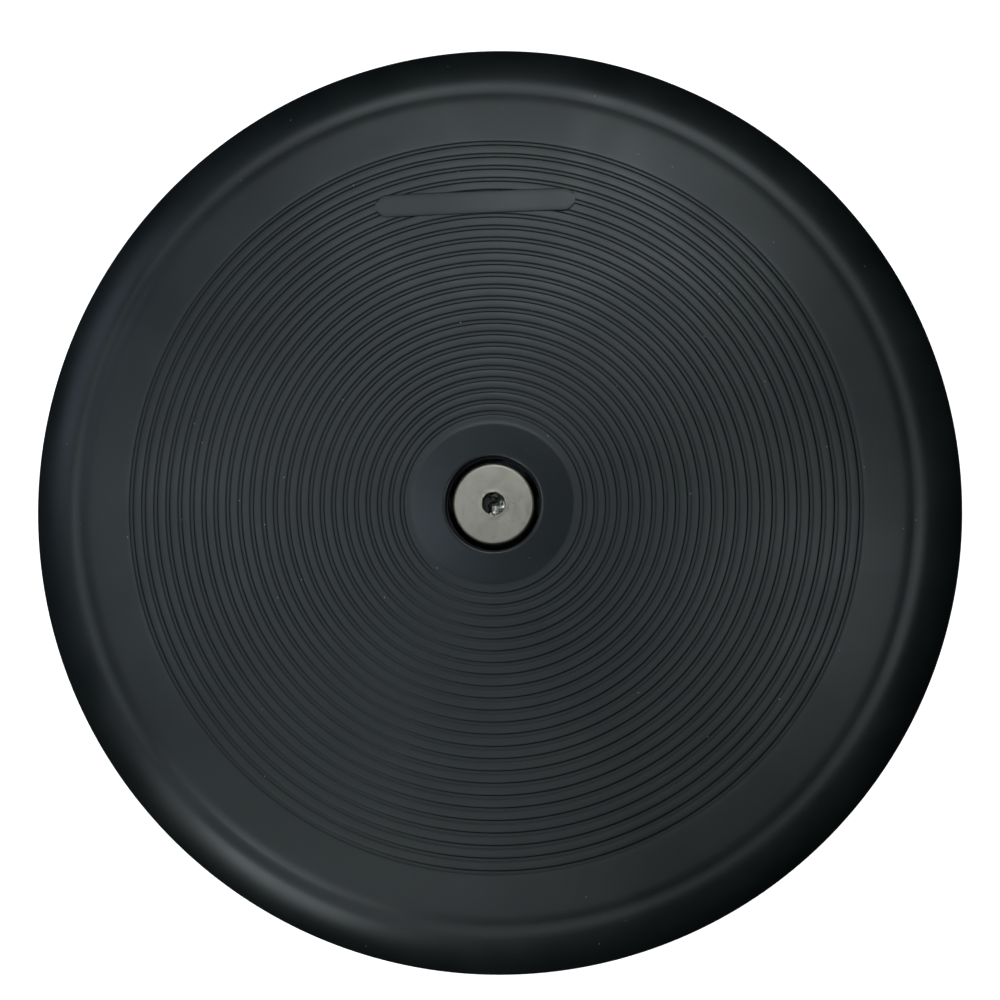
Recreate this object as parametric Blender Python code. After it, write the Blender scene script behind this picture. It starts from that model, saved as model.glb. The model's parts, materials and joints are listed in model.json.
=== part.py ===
"""Wobble cushion: a rubber-faced round top that rocks on a gimbal over a weighted base.

Run with: blender --background --python part.py
All lengths below are in millimetres and angles in degrees; MM turns them into metres.
The floor is z = 0, +Z is up, and the upright post stands on the Z axis.
"""

import math

import bmesh
import bpy
from mathutils import Matrix, Vector

MM = 0.001

# Clearances
SEAT_GAP = 0.3          # between pieces that rest on, or sit in, each other
THREAD_GAP = 0.3        # round a screw's shank
OVERSHOOT = 5.0         # how far a cutter runs past the face it opens

# The top's outer shape
RIM_RADIUS = 165.0      # widest radius
CROWN_HEIGHT = 84.0     # highest point of the crown's sphere above the floor
CROWN_FLATNESS = 94.0 / 33.0   # radius of the tread's sphere over the rim's
ROLL_WIDTH = 18.0       # from the crease, where the crown turns over, out to the rim
ROLL_END = 120.0        # how far the roll turns under, measured from straight up
PAD_THICKNESS = 6.0
SHELL_THICKNESS = 4.0
LIP_THICKNESS = 4.0     # pad's turned-in lip
LIP_WIDTH = 14.0        # how far the lip reaches inwards from the end of the roll

# How far the top tilts about each of its two axes
TILT_LIMIT = 4.5

# Post
POST_RADIUS = 14.0
POST_RECESS = 2.0       # post's end below the top of the crown
POST_CHAMFER = 1.0
POST_GAP = 2.5          # between the post and the pad's central hole
POST_BORE_RADIUS = 4.2
SHELL_HOLE_STEP = 0.3   # the shell's hole is this much narrower than the pad's
COLLAR_WIDTH = 11.8     # plain collar round the hole
COLLAR_RISE = 0.35      # collar's height over the crown, at the hole

# Gimbal
PIVOT_DEPTH = 17.0      # tilt axes below the pad's underside
PIN_RADIUS = 4.0
PIN_INSET = 0.5         # a pin stops this short of the ring's face
BUSH_WALL = 1.7
RING_INNER_GAP = 5.5    # between the post and the gimbal ring
RING_WALL = 7.5
RING_HEIGHT = 16.0
SPACER_EDGE = 1.0       # a spacer is this much larger in radius than a bush
HUB_GAP = 3.0           # between the gimbal ring and the hub
HUB_WALL = 9.0
HUB_DEPTH = 8.0         # hub's barrel below the pivot
HUB_RISE = 9.0          # and above it
HUB_FLANGE_WIDTH = 18.0
HUB_FLANGE_THICKNESS = 5.7
HUB_FLANGE_RISE = 4.7   # flange's top above the pivot
HUB_SCREW_SHIFT = 1.0   # screws stand this far outside the flange's middle
BOSS_GAP = 1.5          # between the hub's barrel and the shell's boss

# Base
BASE_INSET = 43.0       # base plate's edge inside the rim
BASE_BOTTOM = 5.0
BASE_THICKNESS = 12.0
BASE_EDGE = 2.5         # chamfer round the base plate's upper edge
FOOT_INSET = 15.0       # foot ring's middle inside the base plate's edge
FOOT_WIDTH = 22.0
FOOT_RECESS = 3.0
COUNTERBORE_RADIUS = 14.0
COUNTERBORE_DEPTH = 8.0
CAP_THICKNESS = 1.4

# Pedestal
PEDESTAL_FLANGE_WALL = 31.0   # these three are outside the post
PEDESTAL_FLANGE_THICKNESS = 5.7
PEDESTAL_FLOOR = 3.7
PEDESTAL_FOOT_WALL = 12.0
PEDESTAL_NECK_WALL = 7.0
PEDESTAL_DROP = 15.0    # casting's top below the pivot

# Ribs, stop lugs and bump stops
RIB_COUNT = 8
RIB_THICKNESS = 3.2
RIB_DEPTH = 15.0        # ribs below the shell's underside at the hub
RIB_INSET = 2.0         # how far ribs run into what they stand on, and clear the hub
RIB_REACH = 0.6         # share of the clamp's width that a rib runs over
STOP_COUNT = 4
STOP_INSET = 20.0       # each stop's axis inside the base plate's edge
STOP_RADIUS = 10.0
STOP_CHAMFER = 1.5
STOP_SOCKET = 3.0
STOP_HEIGHT = 11.13     # a stop's top above the base plate
LUG_EDGE = 1.0          # lug is this much longer than its stop at each end

# Clamp segments under the pad's lip
CLAMP_COUNT = 4
CLAMP_SPLIT = 1.0       # gap between the ends of two segments
CLAMP_WIDTH = 10.2
CLAMP_TONGUE = 3.8
CLAMP_TONGUE_THICKNESS = 1.7
SHELL_FLANGE_THICKNESS = 4.3

# Fasteners
POST_BOLT_RADIUS = 5.0
POST_BOLT_HEAD_RADIUS = 9.0
POST_BOLT_HEAD_HEIGHT = 4.0
POST_BOLT_REACH = 20.0  # into the post
WASHER_RADIUS = 12.0
WASHER_THICKNESS = 1.5
PEDESTAL_SCREW_RADIUS = 3.0
PEDESTAL_SCREW_HEAD_RADIUS = 5.0
PEDESTAL_SCREW_HEAD_HEIGHT = 3.7
PEDESTAL_SCREW_DEPTH = 8.0   # into the base plate
PEDESTAL_SCREW_COUNT = 4
HUB_SCREW_RADIUS = 2.5
HUB_SCREW_HEAD_RADIUS = 4.2
HUB_SCREW_HEAD_HEIGHT = 4.0
HUB_SCREW_DEPTH = 7.0        # into the shell
HUB_SCREW_COUNT = 6
CLAMP_SCREW_RADIUS = 2.0
CLAMP_SCREW_HEAD_RADIUS = 3.8
CLAMP_SCREW_HEAD_HEIGHT = 2.4
CLAMP_SCREW_COUNT = 8
LOCK_SCREW_RADIUS = 2.5
LOCK_SCREW_LENGTH = 3.2
CROSS_LOCK_LENGTH = 12.0
HOLE_SPARE = 1.0        # a blind hole runs this much past its screw

# Facets round a turned piece
LARGE = 48
MEDIUM = 32
SMALL = 16
TINY = 10

# Angle of the first fixing of each kind, from +X
PEDESTAL_SCREW_TURN = 45.0
HUB_SCREW_TURN = 30.0
CLAMP_SCREW_TURN = 22.5

# Sizes that follow from the ones above
CROWN_RADIUS = RIM_RADIUS * CROWN_FLATNESS
CREASE_RADIUS = RIM_RADIUS - ROLL_WIDTH
POST_TOP = CROWN_HEIGHT - POST_RECESS
PIVOT_HEIGHT = CROWN_HEIGHT - PAD_THICKNESS - PIVOT_DEPTH
HOLE_RADIUS = POST_RADIUS + POST_GAP
COLLAR_RADIUS = HOLE_RADIUS + COLLAR_WIDTH
BASE_TOP = BASE_BOTTOM + BASE_THICKNESS
BASE_RADIUS = RIM_RADIUS - BASE_INSET
FOOT_RADIUS = BASE_RADIUS - FOOT_INSET
CREASE_ANGLE = math.asin(CREASE_RADIUS / CROWN_RADIUS)
ROLL_RADIUS = (RIM_RADIUS - CREASE_RADIUS) / (1.0 - math.sin(CREASE_ANGLE))
ROLL_CENTRE_RADIUS = RIM_RADIUS - ROLL_RADIUS
ROLL_CENTRE_HEIGHT = (
    CROWN_HEIGHT - CROWN_RADIUS + (CROWN_RADIUS - ROLL_RADIUS) * math.cos(CREASE_ANGLE)
)
SHELL_DEPTH = PAD_THICKNESS + SEAT_GAP
SHELL_UNDERSIDE = SHELL_DEPTH + SHELL_THICKNESS
LIP_BOTTOM = ROLL_CENTRE_HEIGHT + ROLL_RADIUS * math.cos(math.radians(ROLL_END))
LIP_TOP = LIP_BOTTOM + LIP_THICKNESS
LIP_RADIUS = (
    ROLL_CENTRE_RADIUS + ROLL_RADIUS * math.sin(math.radians(ROLL_END)) - LIP_WIDTH
)
CLAMP_OUTER = LIP_RADIUS - SEAT_GAP
CLAMP_INNER = CLAMP_OUTER - CLAMP_WIDTH
CLAMP_SCREW_PLACE = 0.5 * (CLAMP_INNER + CLAMP_OUTER)
CLAMP_BOTTOM = LIP_BOTTOM - SEAT_GAP - CLAMP_TONGUE_THICKNESS
RING_INNER = POST_RADIUS + RING_INNER_GAP
RING_OUTER = RING_INNER + RING_WALL
BUSH_RADIUS = PIN_RADIUS + SEAT_GAP + BUSH_WALL
SPACER_RADIUS = BUSH_RADIUS + SPACER_EDGE
HUB_INNER = RING_OUTER + HUB_GAP
HUB_OUTER = HUB_INNER + HUB_WALL
HUB_FLANGE_RADIUS = HUB_OUTER + HUB_FLANGE_WIDTH
HUB_FLANGE_TOP = PIVOT_HEIGHT + HUB_FLANGE_RISE
HUB_FLANGE_BOTTOM = HUB_FLANGE_TOP - HUB_FLANGE_THICKNESS
HUB_SCREW_PLACE = 0.5 * (HUB_OUTER + HUB_FLANGE_RADIUS) + HUB_SCREW_SHIFT
BOSS_INNER = HUB_OUTER + BOSS_GAP
PEDESTAL_BOTTOM = BASE_TOP + SEAT_GAP
PEDESTAL_TOP = PIVOT_HEIGHT - PEDESTAL_DROP
PEDESTAL_NECK_RADIUS = POST_RADIUS + PEDESTAL_NECK_WALL
PEDESTAL_FOOT_RADIUS = POST_RADIUS + PEDESTAL_FOOT_WALL
PEDESTAL_FLANGE_RADIUS = POST_RADIUS + PEDESTAL_FLANGE_WALL
PEDESTAL_FLANGE_TOP = PEDESTAL_BOTTOM + PEDESTAL_FLANGE_THICKNESS
PEDESTAL_SCREW_PLACE = 0.5 * (PEDESTAL_FOOT_RADIUS + PEDESTAL_FLANGE_RADIUS)
POST_BOTTOM = PEDESTAL_BOTTOM + PEDESTAL_FLOOR + SEAT_GAP
POST_BORE_BOTTOM = PIVOT_HEIGHT + PIN_RADIUS
STOP_PLACE = BASE_RADIUS - STOP_INSET
STOP_DROP = (STOP_PLACE + 2.0 * STOP_RADIUS) * math.sin(math.radians(TILT_LIMIT))
STOP_TOP = BASE_TOP + STOP_HEIGHT
LUG_BOTTOM = STOP_TOP + STOP_DROP + SEAT_GAP

ALONG_X = Matrix.Rotation(math.radians(90.0), 4, "Y")
PIVOT = Vector((0.0, 0.0, PIVOT_HEIGHT * MM))
FLOOR_CENTRE = Vector((0.0, 0.0, 0.0))


# Shapes

def turned(profile, facets):
    """A solid turned about Z from a closed profile of (radius, height) points."""
    mesh = bmesh.new()
    rings = []
    for radius, height in profile:
        count = facets if radius > 0.0 else 1
        ring = []
        for step in range(count):
            angle = 2.0 * math.pi * step / facets
            place = (radius * math.cos(angle), radius * math.sin(angle), height)
            ring.append(mesh.verts.new(Vector(place) * MM))
        rings.append(ring)
    for upper, lower in zip(rings, rings[1:] + rings[:1]):
        bridge(mesh, upper, lower, facets)
    bmesh.ops.recalc_face_normals(mesh, faces=mesh.faces)
    return mesh


def turned_arc(profile, first, last, facets):
    """Part of a turned solid, between two angles in degrees, with flat ends."""
    mesh = bmesh.new()
    sections = []
    for step in range(facets + 1):
        angle = math.radians(first + (last - first) * step / facets)
        section = []
        for radius, height in profile:
            place = (radius * math.cos(angle), radius * math.sin(angle), height)
            section.append(mesh.verts.new(Vector(place) * MM))
        sections.append(section)
    for near, far in zip(sections, sections[1:]):
        for corner in range(len(profile)):
            following = (corner + 1) % len(profile)
            mesh.faces.new([near[corner], near[following], far[following], far[corner]])
    mesh.faces.new(sections[0])
    mesh.faces.new(sections[-1])
    bmesh.ops.recalc_face_normals(mesh, faces=mesh.faces)
    return mesh


def bridge(mesh, upper, lower, facets):
    """Faces between two rings of a turned solid, either of which may be a point."""
    if len(upper) == 1 and len(lower) == 1:
        return
    for step in range(facets):
        following = (step + 1) % facets
        corners = [upper[step % len(upper)], upper[following % len(upper)]]
        corners += [lower[following % len(lower)], lower[step % len(lower)]]
        mesh.faces.new(list(dict.fromkeys(corners)))


def rod(radius, low, high, facets, chamfer=0.0):
    """A round bar along Z."""
    profile = [(0.0, high), (radius - chamfer, high)]
    if chamfer > 0.0:
        profile.append((radius, high - chamfer))
    profile += [(radius, low), (0.0, low)]
    return turned(profile, facets)


def sleeve(inner, outer, low, high, facets):
    """A plain tube along Z."""
    profile = [(inner, high), (outer, high), (outer, low), (inner, low)]
    return turned(profile, facets)


def screw(radius, head_radius, head_low, head_high, tip, facets):
    """A headed screw along Z. Its tip may be above or below its head."""
    if tip > head_high:
        profile = [(0.0, tip), (radius, tip), (radius, head_high)]
        profile += [(head_radius, head_high), (head_radius, head_low), (0.0, head_low)]
    else:
        profile = [(0.0, head_high), (head_radius, head_high), (head_radius, head_low)]
        profile += [(radius, head_low), (radius, tip), (0.0, tip)]
    return turned(profile, facets)


def prism(outline, thickness):
    """A plate of the given (radius, height) outline, standing in the X-Z plane."""
    mesh = bmesh.new()
    near = [mesh.verts.new(Vector((x, -thickness / 2, z)) * MM) for x, z in outline]
    far = [mesh.verts.new(Vector((x, thickness / 2, z)) * MM) for x, z in outline]
    mesh.faces.new(near)
    mesh.faces.new(list(reversed(far)))
    for step in range(len(outline)):
        following = (step + 1) % len(outline)
        side = [near[step], far[step], far[following], near[following]]
        mesh.faces.new(side)
    bmesh.ops.recalc_face_normals(mesh, faces=mesh.faces)
    return mesh


def moved(mesh, matrix):
    """The same shape, moved or turned."""
    bmesh.ops.transform(mesh, matrix=matrix, verts=mesh.verts)
    return mesh


def shifted(mesh, x=0.0, y=0.0, z=0.0):
    return moved(mesh, Matrix.Translation(Vector((x, y, z)) * MM))


def turned_to(mesh, degrees):
    return moved(mesh, Matrix.Rotation(math.radians(degrees), 4, "Z"))


def gathered(meshes):
    """Several shapes in one mesh, for a cutter or for pieces to be joined on."""
    whole = bmesh.new()
    for mesh in meshes:
        part = bpy.data.meshes.new("part")
        mesh.to_mesh(part)
        mesh.free()
        whole.from_mesh(part)
        bpy.data.meshes.remove(part)
    return whole


def spread(count, first):
    """Angles of a number of equal steps round a circle."""
    return [first + 360.0 * step / count for step in range(count)]


# Objects

def finish(name, colour, metallic, roughness):
    material = bpy.data.materials.new(name)
    material.use_nodes = True
    shader = material.node_tree.nodes["Principled BSDF"]
    shader.inputs["Base Color"].default_value = (*colour, 1.0)
    shader.inputs["Metallic"].default_value = metallic
    shader.inputs["Roughness"].default_value = roughness
    return material


def link(name, mesh, origin):
    """An object whose mesh is given in the world and whose origin is at a given place."""
    data = bpy.data.meshes.new(name)
    moved(mesh, Matrix.Translation(-origin)).to_mesh(data)
    mesh.free()
    thing = bpy.data.objects.new(name, data)
    thing.location = origin
    bpy.context.scene.collection.objects.link(thing)
    return thing


def axis_point(name, parent, origin):
    """An empty that the pieces of one moving body hang from."""
    empty = bpy.data.objects.new(name, None)
    empty.empty_display_size = 0.03
    bpy.context.scene.collection.objects.link(empty)
    if parent is not None:
        empty.parent = parent
        origin = origin - parent.location
    empty.location = origin
    return empty


def piece(name, mesh, look, body):
    """One named sub-part, shaded smooth with its edges kept sharp."""
    origin = FLOOR_CENTRE if body.name == "base_body" else PIVOT
    thing = link(name, mesh, origin)
    thing.data.materials.append(finish(name + "_finish", *look))
    thing.data.shade_smooth()
    thing.data.set_sharp_from_angle(angle=math.radians(30.0))
    bpy.context.view_layer.update()
    thing.parent = body
    thing.matrix_parent_inverse = body.matrix_world.inverted()
    return thing


def boolean(thing, mesh, operation):
    """Cuts a shape from a piece, or joins it on."""
    tool = link(thing.name + "_" + operation.lower(), mesh, FLOOR_CENTRE)
    tool.hide_render = True
    tool.display_type = "WIRE"
    modifier = thing.modifiers.new(operation.title(), "BOOLEAN")
    modifier.operation = operation
    modifier.solver = "EXACT"
    modifier.object = tool


# Looks: colour, metallic, roughness
RUBBER = ((0.035, 0.042, 0.042), 0.0, 0.62)
SOFT_RUBBER = ((0.03, 0.03, 0.032), 0.0, 0.75)
NYLON = ((0.05, 0.052, 0.055), 0.0, 0.55)
ACETAL = ((0.035, 0.035, 0.037), 0.0, 0.4)
STEEL = ((0.45, 0.45, 0.43), 1.0, 0.42)
ZINC = ((0.62, 0.63, 0.64), 1.0, 0.35)
BLACK_OXIDE = ((0.06, 0.06, 0.065), 1.0, 0.45)
CAST_ALUMINIUM = ((0.58, 0.59, 0.6), 1.0, 0.5)
PAINTED_IRON = ((0.045, 0.047, 0.05), 0.1, 0.5)


# The cushion's skin: a sphere cap that runs tangentially into the rim's roll

def crown_height(radius, depth):
    """Height of a surface a given depth under the crown."""
    sphere = CROWN_RADIUS - depth
    return CROWN_HEIGHT - CROWN_RADIUS + math.sqrt(sphere**2 - radius**2)


def crown(depth, inner, outer, steps):
    """Profile points along the crown, from one radius out to another."""
    radii = [inner + (outer - inner) * step / steps for step in range(steps + 1)]
    return [(radius, crown_height(radius, depth)) for radius in radii]


def roll(depth, end_angle, steps):
    """Profile points round the rim, from the crease to an angle in degrees."""
    radius = ROLL_RADIUS - depth
    points = []
    for step in range(steps + 1):
        angle = CREASE_ANGLE + (math.radians(end_angle) - CREASE_ANGLE) * step / steps
        across = ROLL_CENTRE_RADIUS + radius * math.sin(angle)
        points.append((across, ROLL_CENTRE_HEIGHT + radius * math.cos(angle)))
    return points


def roll_angle_at(depth, height):
    """Angle in degrees at which the roll comes down to a height."""
    drop = (ROLL_CENTRE_HEIGHT - height) / (ROLL_RADIUS - depth)
    return 90.0 + math.degrees(math.asin(drop))


def skin(depth, inner, end_angle, crown_steps, roll_steps):
    """The whole skin's profile at a depth, from the central hole round to the lip."""
    crease = (CROWN_RADIUS - depth) * math.sin(CREASE_ANGLE)
    points = crown(depth, inner, crease, crown_steps)
    return points + roll(depth, end_angle, roll_steps)[1:]


# Pieces of the base

def make_base(body):
    recess_inner = FOOT_RADIUS - FOOT_WIDTH / 2
    recess_outer = FOOT_RADIUS + FOOT_WIDTH / 2
    bolt_hole = POST_BOLT_RADIUS + THREAD_GAP
    plate = turned(
        [
            (bolt_hole, BASE_TOP),
            (BASE_RADIUS - BASE_EDGE, BASE_TOP),
            (BASE_RADIUS, BASE_TOP - BASE_EDGE),
            (BASE_RADIUS, BASE_BOTTOM),
            (recess_outer, BASE_BOTTOM),
            (recess_outer, BASE_BOTTOM + FOOT_RECESS),
            (recess_inner, BASE_BOTTOM + FOOT_RECESS),
            (recess_inner, BASE_BOTTOM),
            (COUNTERBORE_RADIUS, BASE_BOTTOM),
            (COUNTERBORE_RADIUS, BASE_BOTTOM + COUNTERBORE_DEPTH),
            (bolt_hole, BASE_BOTTOM + COUNTERBORE_DEPTH),
        ],
        LARGE,
    )
    plate = piece("base_plate", plate, PAINTED_IRON, body)
    holes = []
    for angle in spread(PEDESTAL_SCREW_COUNT, PEDESTAL_SCREW_TURN):
        low = BASE_TOP - PEDESTAL_SCREW_DEPTH - HOLE_SPARE
        hole = rod(PEDESTAL_SCREW_RADIUS + THREAD_GAP, low, BASE_TOP + OVERSHOOT, TINY)
        holes.append(turned_to(shifted(hole, x=PEDESTAL_SCREW_PLACE), angle))
    for angle in spread(STOP_COUNT, 0.0):
        low = BASE_TOP - STOP_SOCKET
        socket = rod(STOP_RADIUS + SEAT_GAP, low, BASE_TOP + OVERSHOOT, SMALL)
        holes.append(turned_to(shifted(socket, x=STOP_PLACE), angle))
    boolean(plate, gathered(holes), "DIFFERENCE")

    foot_top = BASE_BOTTOM + FOOT_RECESS - SEAT_GAP
    foot = sleeve(recess_inner + SEAT_GAP, recess_outer - SEAT_GAP, 0.0, foot_top, LARGE)
    piece("foot_ring", foot, SOFT_RUBBER, body)

    washer_top = BASE_BOTTOM + COUNTERBORE_DEPTH - SEAT_GAP
    washer_bottom = washer_top - WASHER_THICKNESS
    washer = sleeve(bolt_hole, WASHER_RADIUS, washer_bottom, washer_top, SMALL)
    piece("post_washer", washer, ZINC, body)
    head_top = washer_bottom - SEAT_GAP
    head_bottom = head_top - POST_BOLT_HEAD_HEIGHT
    tip = POST_BOTTOM + POST_BOLT_REACH
    bolt = screw(POST_BOLT_RADIUS, POST_BOLT_HEAD_RADIUS, head_bottom, head_top, tip, SMALL)
    piece("post_bolt", bolt, BLACK_OXIDE, body)
    cap_top = head_bottom - SEAT_GAP
    cap = rod(COUNTERBORE_RADIUS - SEAT_GAP, cap_top - CAP_THICKNESS, cap_top, SMALL)
    piece("base_cap", cap, NYLON, body)

    for number, angle in enumerate(spread(STOP_COUNT, 0.0), 1):
        low = BASE_TOP - STOP_SOCKET + SEAT_GAP
        stop = rod(STOP_RADIUS, low, STOP_TOP, SMALL, STOP_CHAMFER)
        stop = turned_to(shifted(stop, x=STOP_PLACE), angle)
        piece(f"bump_stop_{number}", stop, SOFT_RUBBER, body)


def make_pedestal(body):
    bore = POST_RADIUS + SEAT_GAP
    floor = PEDESTAL_BOTTOM + PEDESTAL_FLOOR
    casting = turned(
        [
            (bore, PEDESTAL_TOP),
            (PEDESTAL_NECK_RADIUS, PEDESTAL_TOP),
            (PEDESTAL_FOOT_RADIUS, PEDESTAL_FLANGE_TOP),
            (PEDESTAL_FLANGE_RADIUS, PEDESTAL_FLANGE_TOP),
            (PEDESTAL_FLANGE_RADIUS, PEDESTAL_BOTTOM),
            (POST_BOLT_RADIUS + THREAD_GAP, PEDESTAL_BOTTOM),
            (POST_BOLT_RADIUS + THREAD_GAP, floor),
            (bore, floor),
        ],
        MEDIUM,
    )
    casting = piece("pedestal", casting, CAST_ALUMINIUM, body)
    holes = []
    for number, angle in enumerate(spread(PEDESTAL_SCREW_COUNT, PEDESTAL_SCREW_TURN), 1):
        above = PEDESTAL_FLANGE_TOP + HOLE_SPARE
        hole = rod(PEDESTAL_SCREW_RADIUS + THREAD_GAP, BASE_TOP, above, TINY)
        holes.append(turned_to(shifted(hole, x=PEDESTAL_SCREW_PLACE), angle))
        head = PEDESTAL_FLANGE_TOP + SEAT_GAP
        body_screw = screw(
            PEDESTAL_SCREW_RADIUS,
            PEDESTAL_SCREW_HEAD_RADIUS,
            head,
            head + PEDESTAL_SCREW_HEAD_HEIGHT,
            BASE_TOP - PEDESTAL_SCREW_DEPTH,
            TINY,
        )
        body_screw = turned_to(shifted(body_screw, x=PEDESTAL_SCREW_PLACE), angle)
        piece(f"pedestal_screw_{number}", body_screw, BLACK_OXIDE, body)
    boolean(casting, gathered(holes), "DIFFERENCE")


def make_post(body):
    bolt_hole = POST_BOLT_RADIUS + THREAD_GAP
    bolt_hole_top = POST_BOTTOM + POST_BOLT_REACH + HOLE_SPARE
    post = turned(
        [
            (0.0, POST_BORE_BOTTOM),
            (POST_BORE_RADIUS, POST_BORE_BOTTOM),
            (POST_BORE_RADIUS, POST_TOP),
            (POST_RADIUS - POST_CHAMFER, POST_TOP),
            (POST_RADIUS, POST_TOP - POST_CHAMFER),
            (POST_RADIUS, POST_BOTTOM),
            (bolt_hole, POST_BOTTOM),
            (bolt_hole, bolt_hole_top),
            (0.0, bolt_hole_top),
        ],
        MEDIUM,
    )
    post = piece("post", post, STEEL, body)
    reach = POST_RADIUS + OVERSHOOT
    cross_hole = moved(rod(PIN_RADIUS + SEAT_GAP, -reach, reach, SMALL), ALONG_X)
    boolean(post, shifted(cross_hole, z=PIVOT_HEIGHT), "DIFFERENCE")

    pin_end = RING_OUTER - PIN_INSET
    cross_pin = moved(rod(PIN_RADIUS, -pin_end, pin_end, SMALL), ALONG_X)
    piece("cross_pin", shifted(cross_pin, z=PIVOT_HEIGHT), BLACK_OXIDE, body)
    lock_low = PIVOT_HEIGHT + PIN_RADIUS + SEAT_GAP
    lock = rod(POST_BORE_RADIUS - THREAD_GAP, lock_low, lock_low + CROSS_LOCK_LENGTH, TINY)
    piece("cross_pin_lock_screw", lock, BLACK_OXIDE, body)

    near = POST_RADIUS + SEAT_GAP
    far = math.sqrt(RING_INNER**2 - SPACER_RADIUS**2) - SEAT_GAP
    for number, angle in enumerate((0.0, 180.0), 1):
        spacer = sleeve(PIN_RADIUS + SEAT_GAP, SPACER_RADIUS, near, far, SMALL)
        spacer = turned_to(moved(spacer, ALONG_X), angle)
        piece(f"cross_spacer_{number}", shifted(spacer, z=PIVOT_HEIGHT), ACETAL, body)


# Pieces of the gimbal

def make_gimbal(body):
    half = RING_HEIGHT / 2
    ring = sleeve(RING_INNER, RING_OUTER, -half, half, MEDIUM)
    ring = piece("gimbal_ring", shifted(ring, z=PIVOT_HEIGHT), ZINC, body)
    near = RING_INNER - OVERSHOOT
    far = RING_OUTER + OVERSHOOT
    seats = []
    for angle in spread(4, 0.0):
        seat = moved(rod(BUSH_RADIUS + SEAT_GAP, near, far, SMALL), ALONG_X)
        seats.append(turned_to(shifted(seat, z=PIVOT_HEIGHT), angle))
    boolean(ring, gathered(seats), "DIFFERENCE")

    for number, angle in enumerate(spread(4, 0.0), 1):
        bush = sleeve(
            PIN_RADIUS + SEAT_GAP, BUSH_RADIUS, RING_INNER + SEAT_GAP, RING_OUTER - SEAT_GAP, SMALL
        )
        bush = turned_to(moved(bush, ALONG_X), angle)
        piece(f"gimbal_bush_{number}", shifted(bush, z=PIVOT_HEIGHT), SOFT_RUBBER, body)


# Pieces of the rocking top

def make_hub(body):
    casting = turned(
        [
            (HUB_INNER, PIVOT_HEIGHT + HUB_RISE),
            (HUB_OUTER, PIVOT_HEIGHT + HUB_RISE),
            (HUB_OUTER, HUB_FLANGE_TOP),
            (HUB_FLANGE_RADIUS, HUB_FLANGE_TOP),
            (HUB_FLANGE_RADIUS, HUB_FLANGE_BOTTOM),
            (HUB_OUTER, HUB_FLANGE_BOTTOM),
            (HUB_OUTER, PIVOT_HEIGHT - HUB_DEPTH),
            (HUB_INNER, PIVOT_HEIGHT - HUB_DEPTH),
        ],
        MEDIUM,
    )
    casting = piece("hub", casting, CAST_ALUMINIUM, body)
    holes = []
    pin_low = RING_INNER + PIN_INSET
    pin_high = HUB_OUTER - SEAT_GAP
    lock_place = 0.5 * (HUB_INNER + HUB_OUTER)
    lock_top = PIVOT_HEIGHT - PIN_RADIUS - SEAT_GAP
    near = RING_OUTER + SEAT_GAP
    far = math.sqrt(HUB_INNER**2 - SPACER_RADIUS**2) - SEAT_GAP
    for number, angle in enumerate((90.0, -90.0), 1):
        bore = rod(PIN_RADIUS + SEAT_GAP, RING_OUTER, HUB_OUTER + OVERSHOOT, SMALL)
        bore = moved(bore, ALONG_X)
        holes.append(turned_to(shifted(bore, z=PIVOT_HEIGHT), angle))
        pin = moved(rod(PIN_RADIUS, pin_low, pin_high, SMALL), ALONG_X)
        pin = turned_to(shifted(pin, z=PIVOT_HEIGHT), angle)
        piece(f"trunnion_pin_{number}", pin, BLACK_OXIDE, body)
        spacer = moved(sleeve(PIN_RADIUS + SEAT_GAP, SPACER_RADIUS, near, far, SMALL), ALONG_X)
        spacer = turned_to(shifted(spacer, z=PIVOT_HEIGHT), angle)
        piece(f"trunnion_spacer_{number}", spacer, ACETAL, body)
        lock = rod(LOCK_SCREW_RADIUS, lock_top - LOCK_SCREW_LENGTH, lock_top, TINY)
        lock = turned_to(shifted(lock, x=lock_place), angle)
        piece(f"trunnion_lock_screw_{number}", lock, BLACK_OXIDE, body)
    boolean(casting, gathered(holes), "DIFFERENCE")

    lock_holes = []
    for angle in (90.0, -90.0):
        low = PIVOT_HEIGHT - HUB_DEPTH - OVERSHOOT
        hole = rod(LOCK_SCREW_RADIUS + THREAD_GAP, low, PIVOT_HEIGHT - PIN_RADIUS / 2, TINY)
        lock_holes.append(turned_to(shifted(hole, x=lock_place), angle))
    for number, angle in enumerate(spread(HUB_SCREW_COUNT, HUB_SCREW_TURN), 1):
        low = HUB_FLANGE_BOTTOM - OVERSHOOT
        hole = rod(HUB_SCREW_RADIUS + THREAD_GAP, low, HUB_FLANGE_TOP + OVERSHOOT, TINY)
        lock_holes.append(turned_to(shifted(hole, x=HUB_SCREW_PLACE), angle))
        head_top = HUB_FLANGE_BOTTOM - SEAT_GAP
        fixing = screw(
            HUB_SCREW_RADIUS,
            HUB_SCREW_HEAD_RADIUS,
            head_top - HUB_SCREW_HEAD_HEIGHT,
            head_top,
            HUB_FLANGE_TOP + HUB_SCREW_DEPTH,
            TINY,
        )
        fixing = turned_to(shifted(fixing, x=HUB_SCREW_PLACE), angle)
        piece(f"hub_screw_{number}", fixing, ZINC, body)
    boolean(casting, gathered(lock_holes), "DIFFERENCE")


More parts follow.
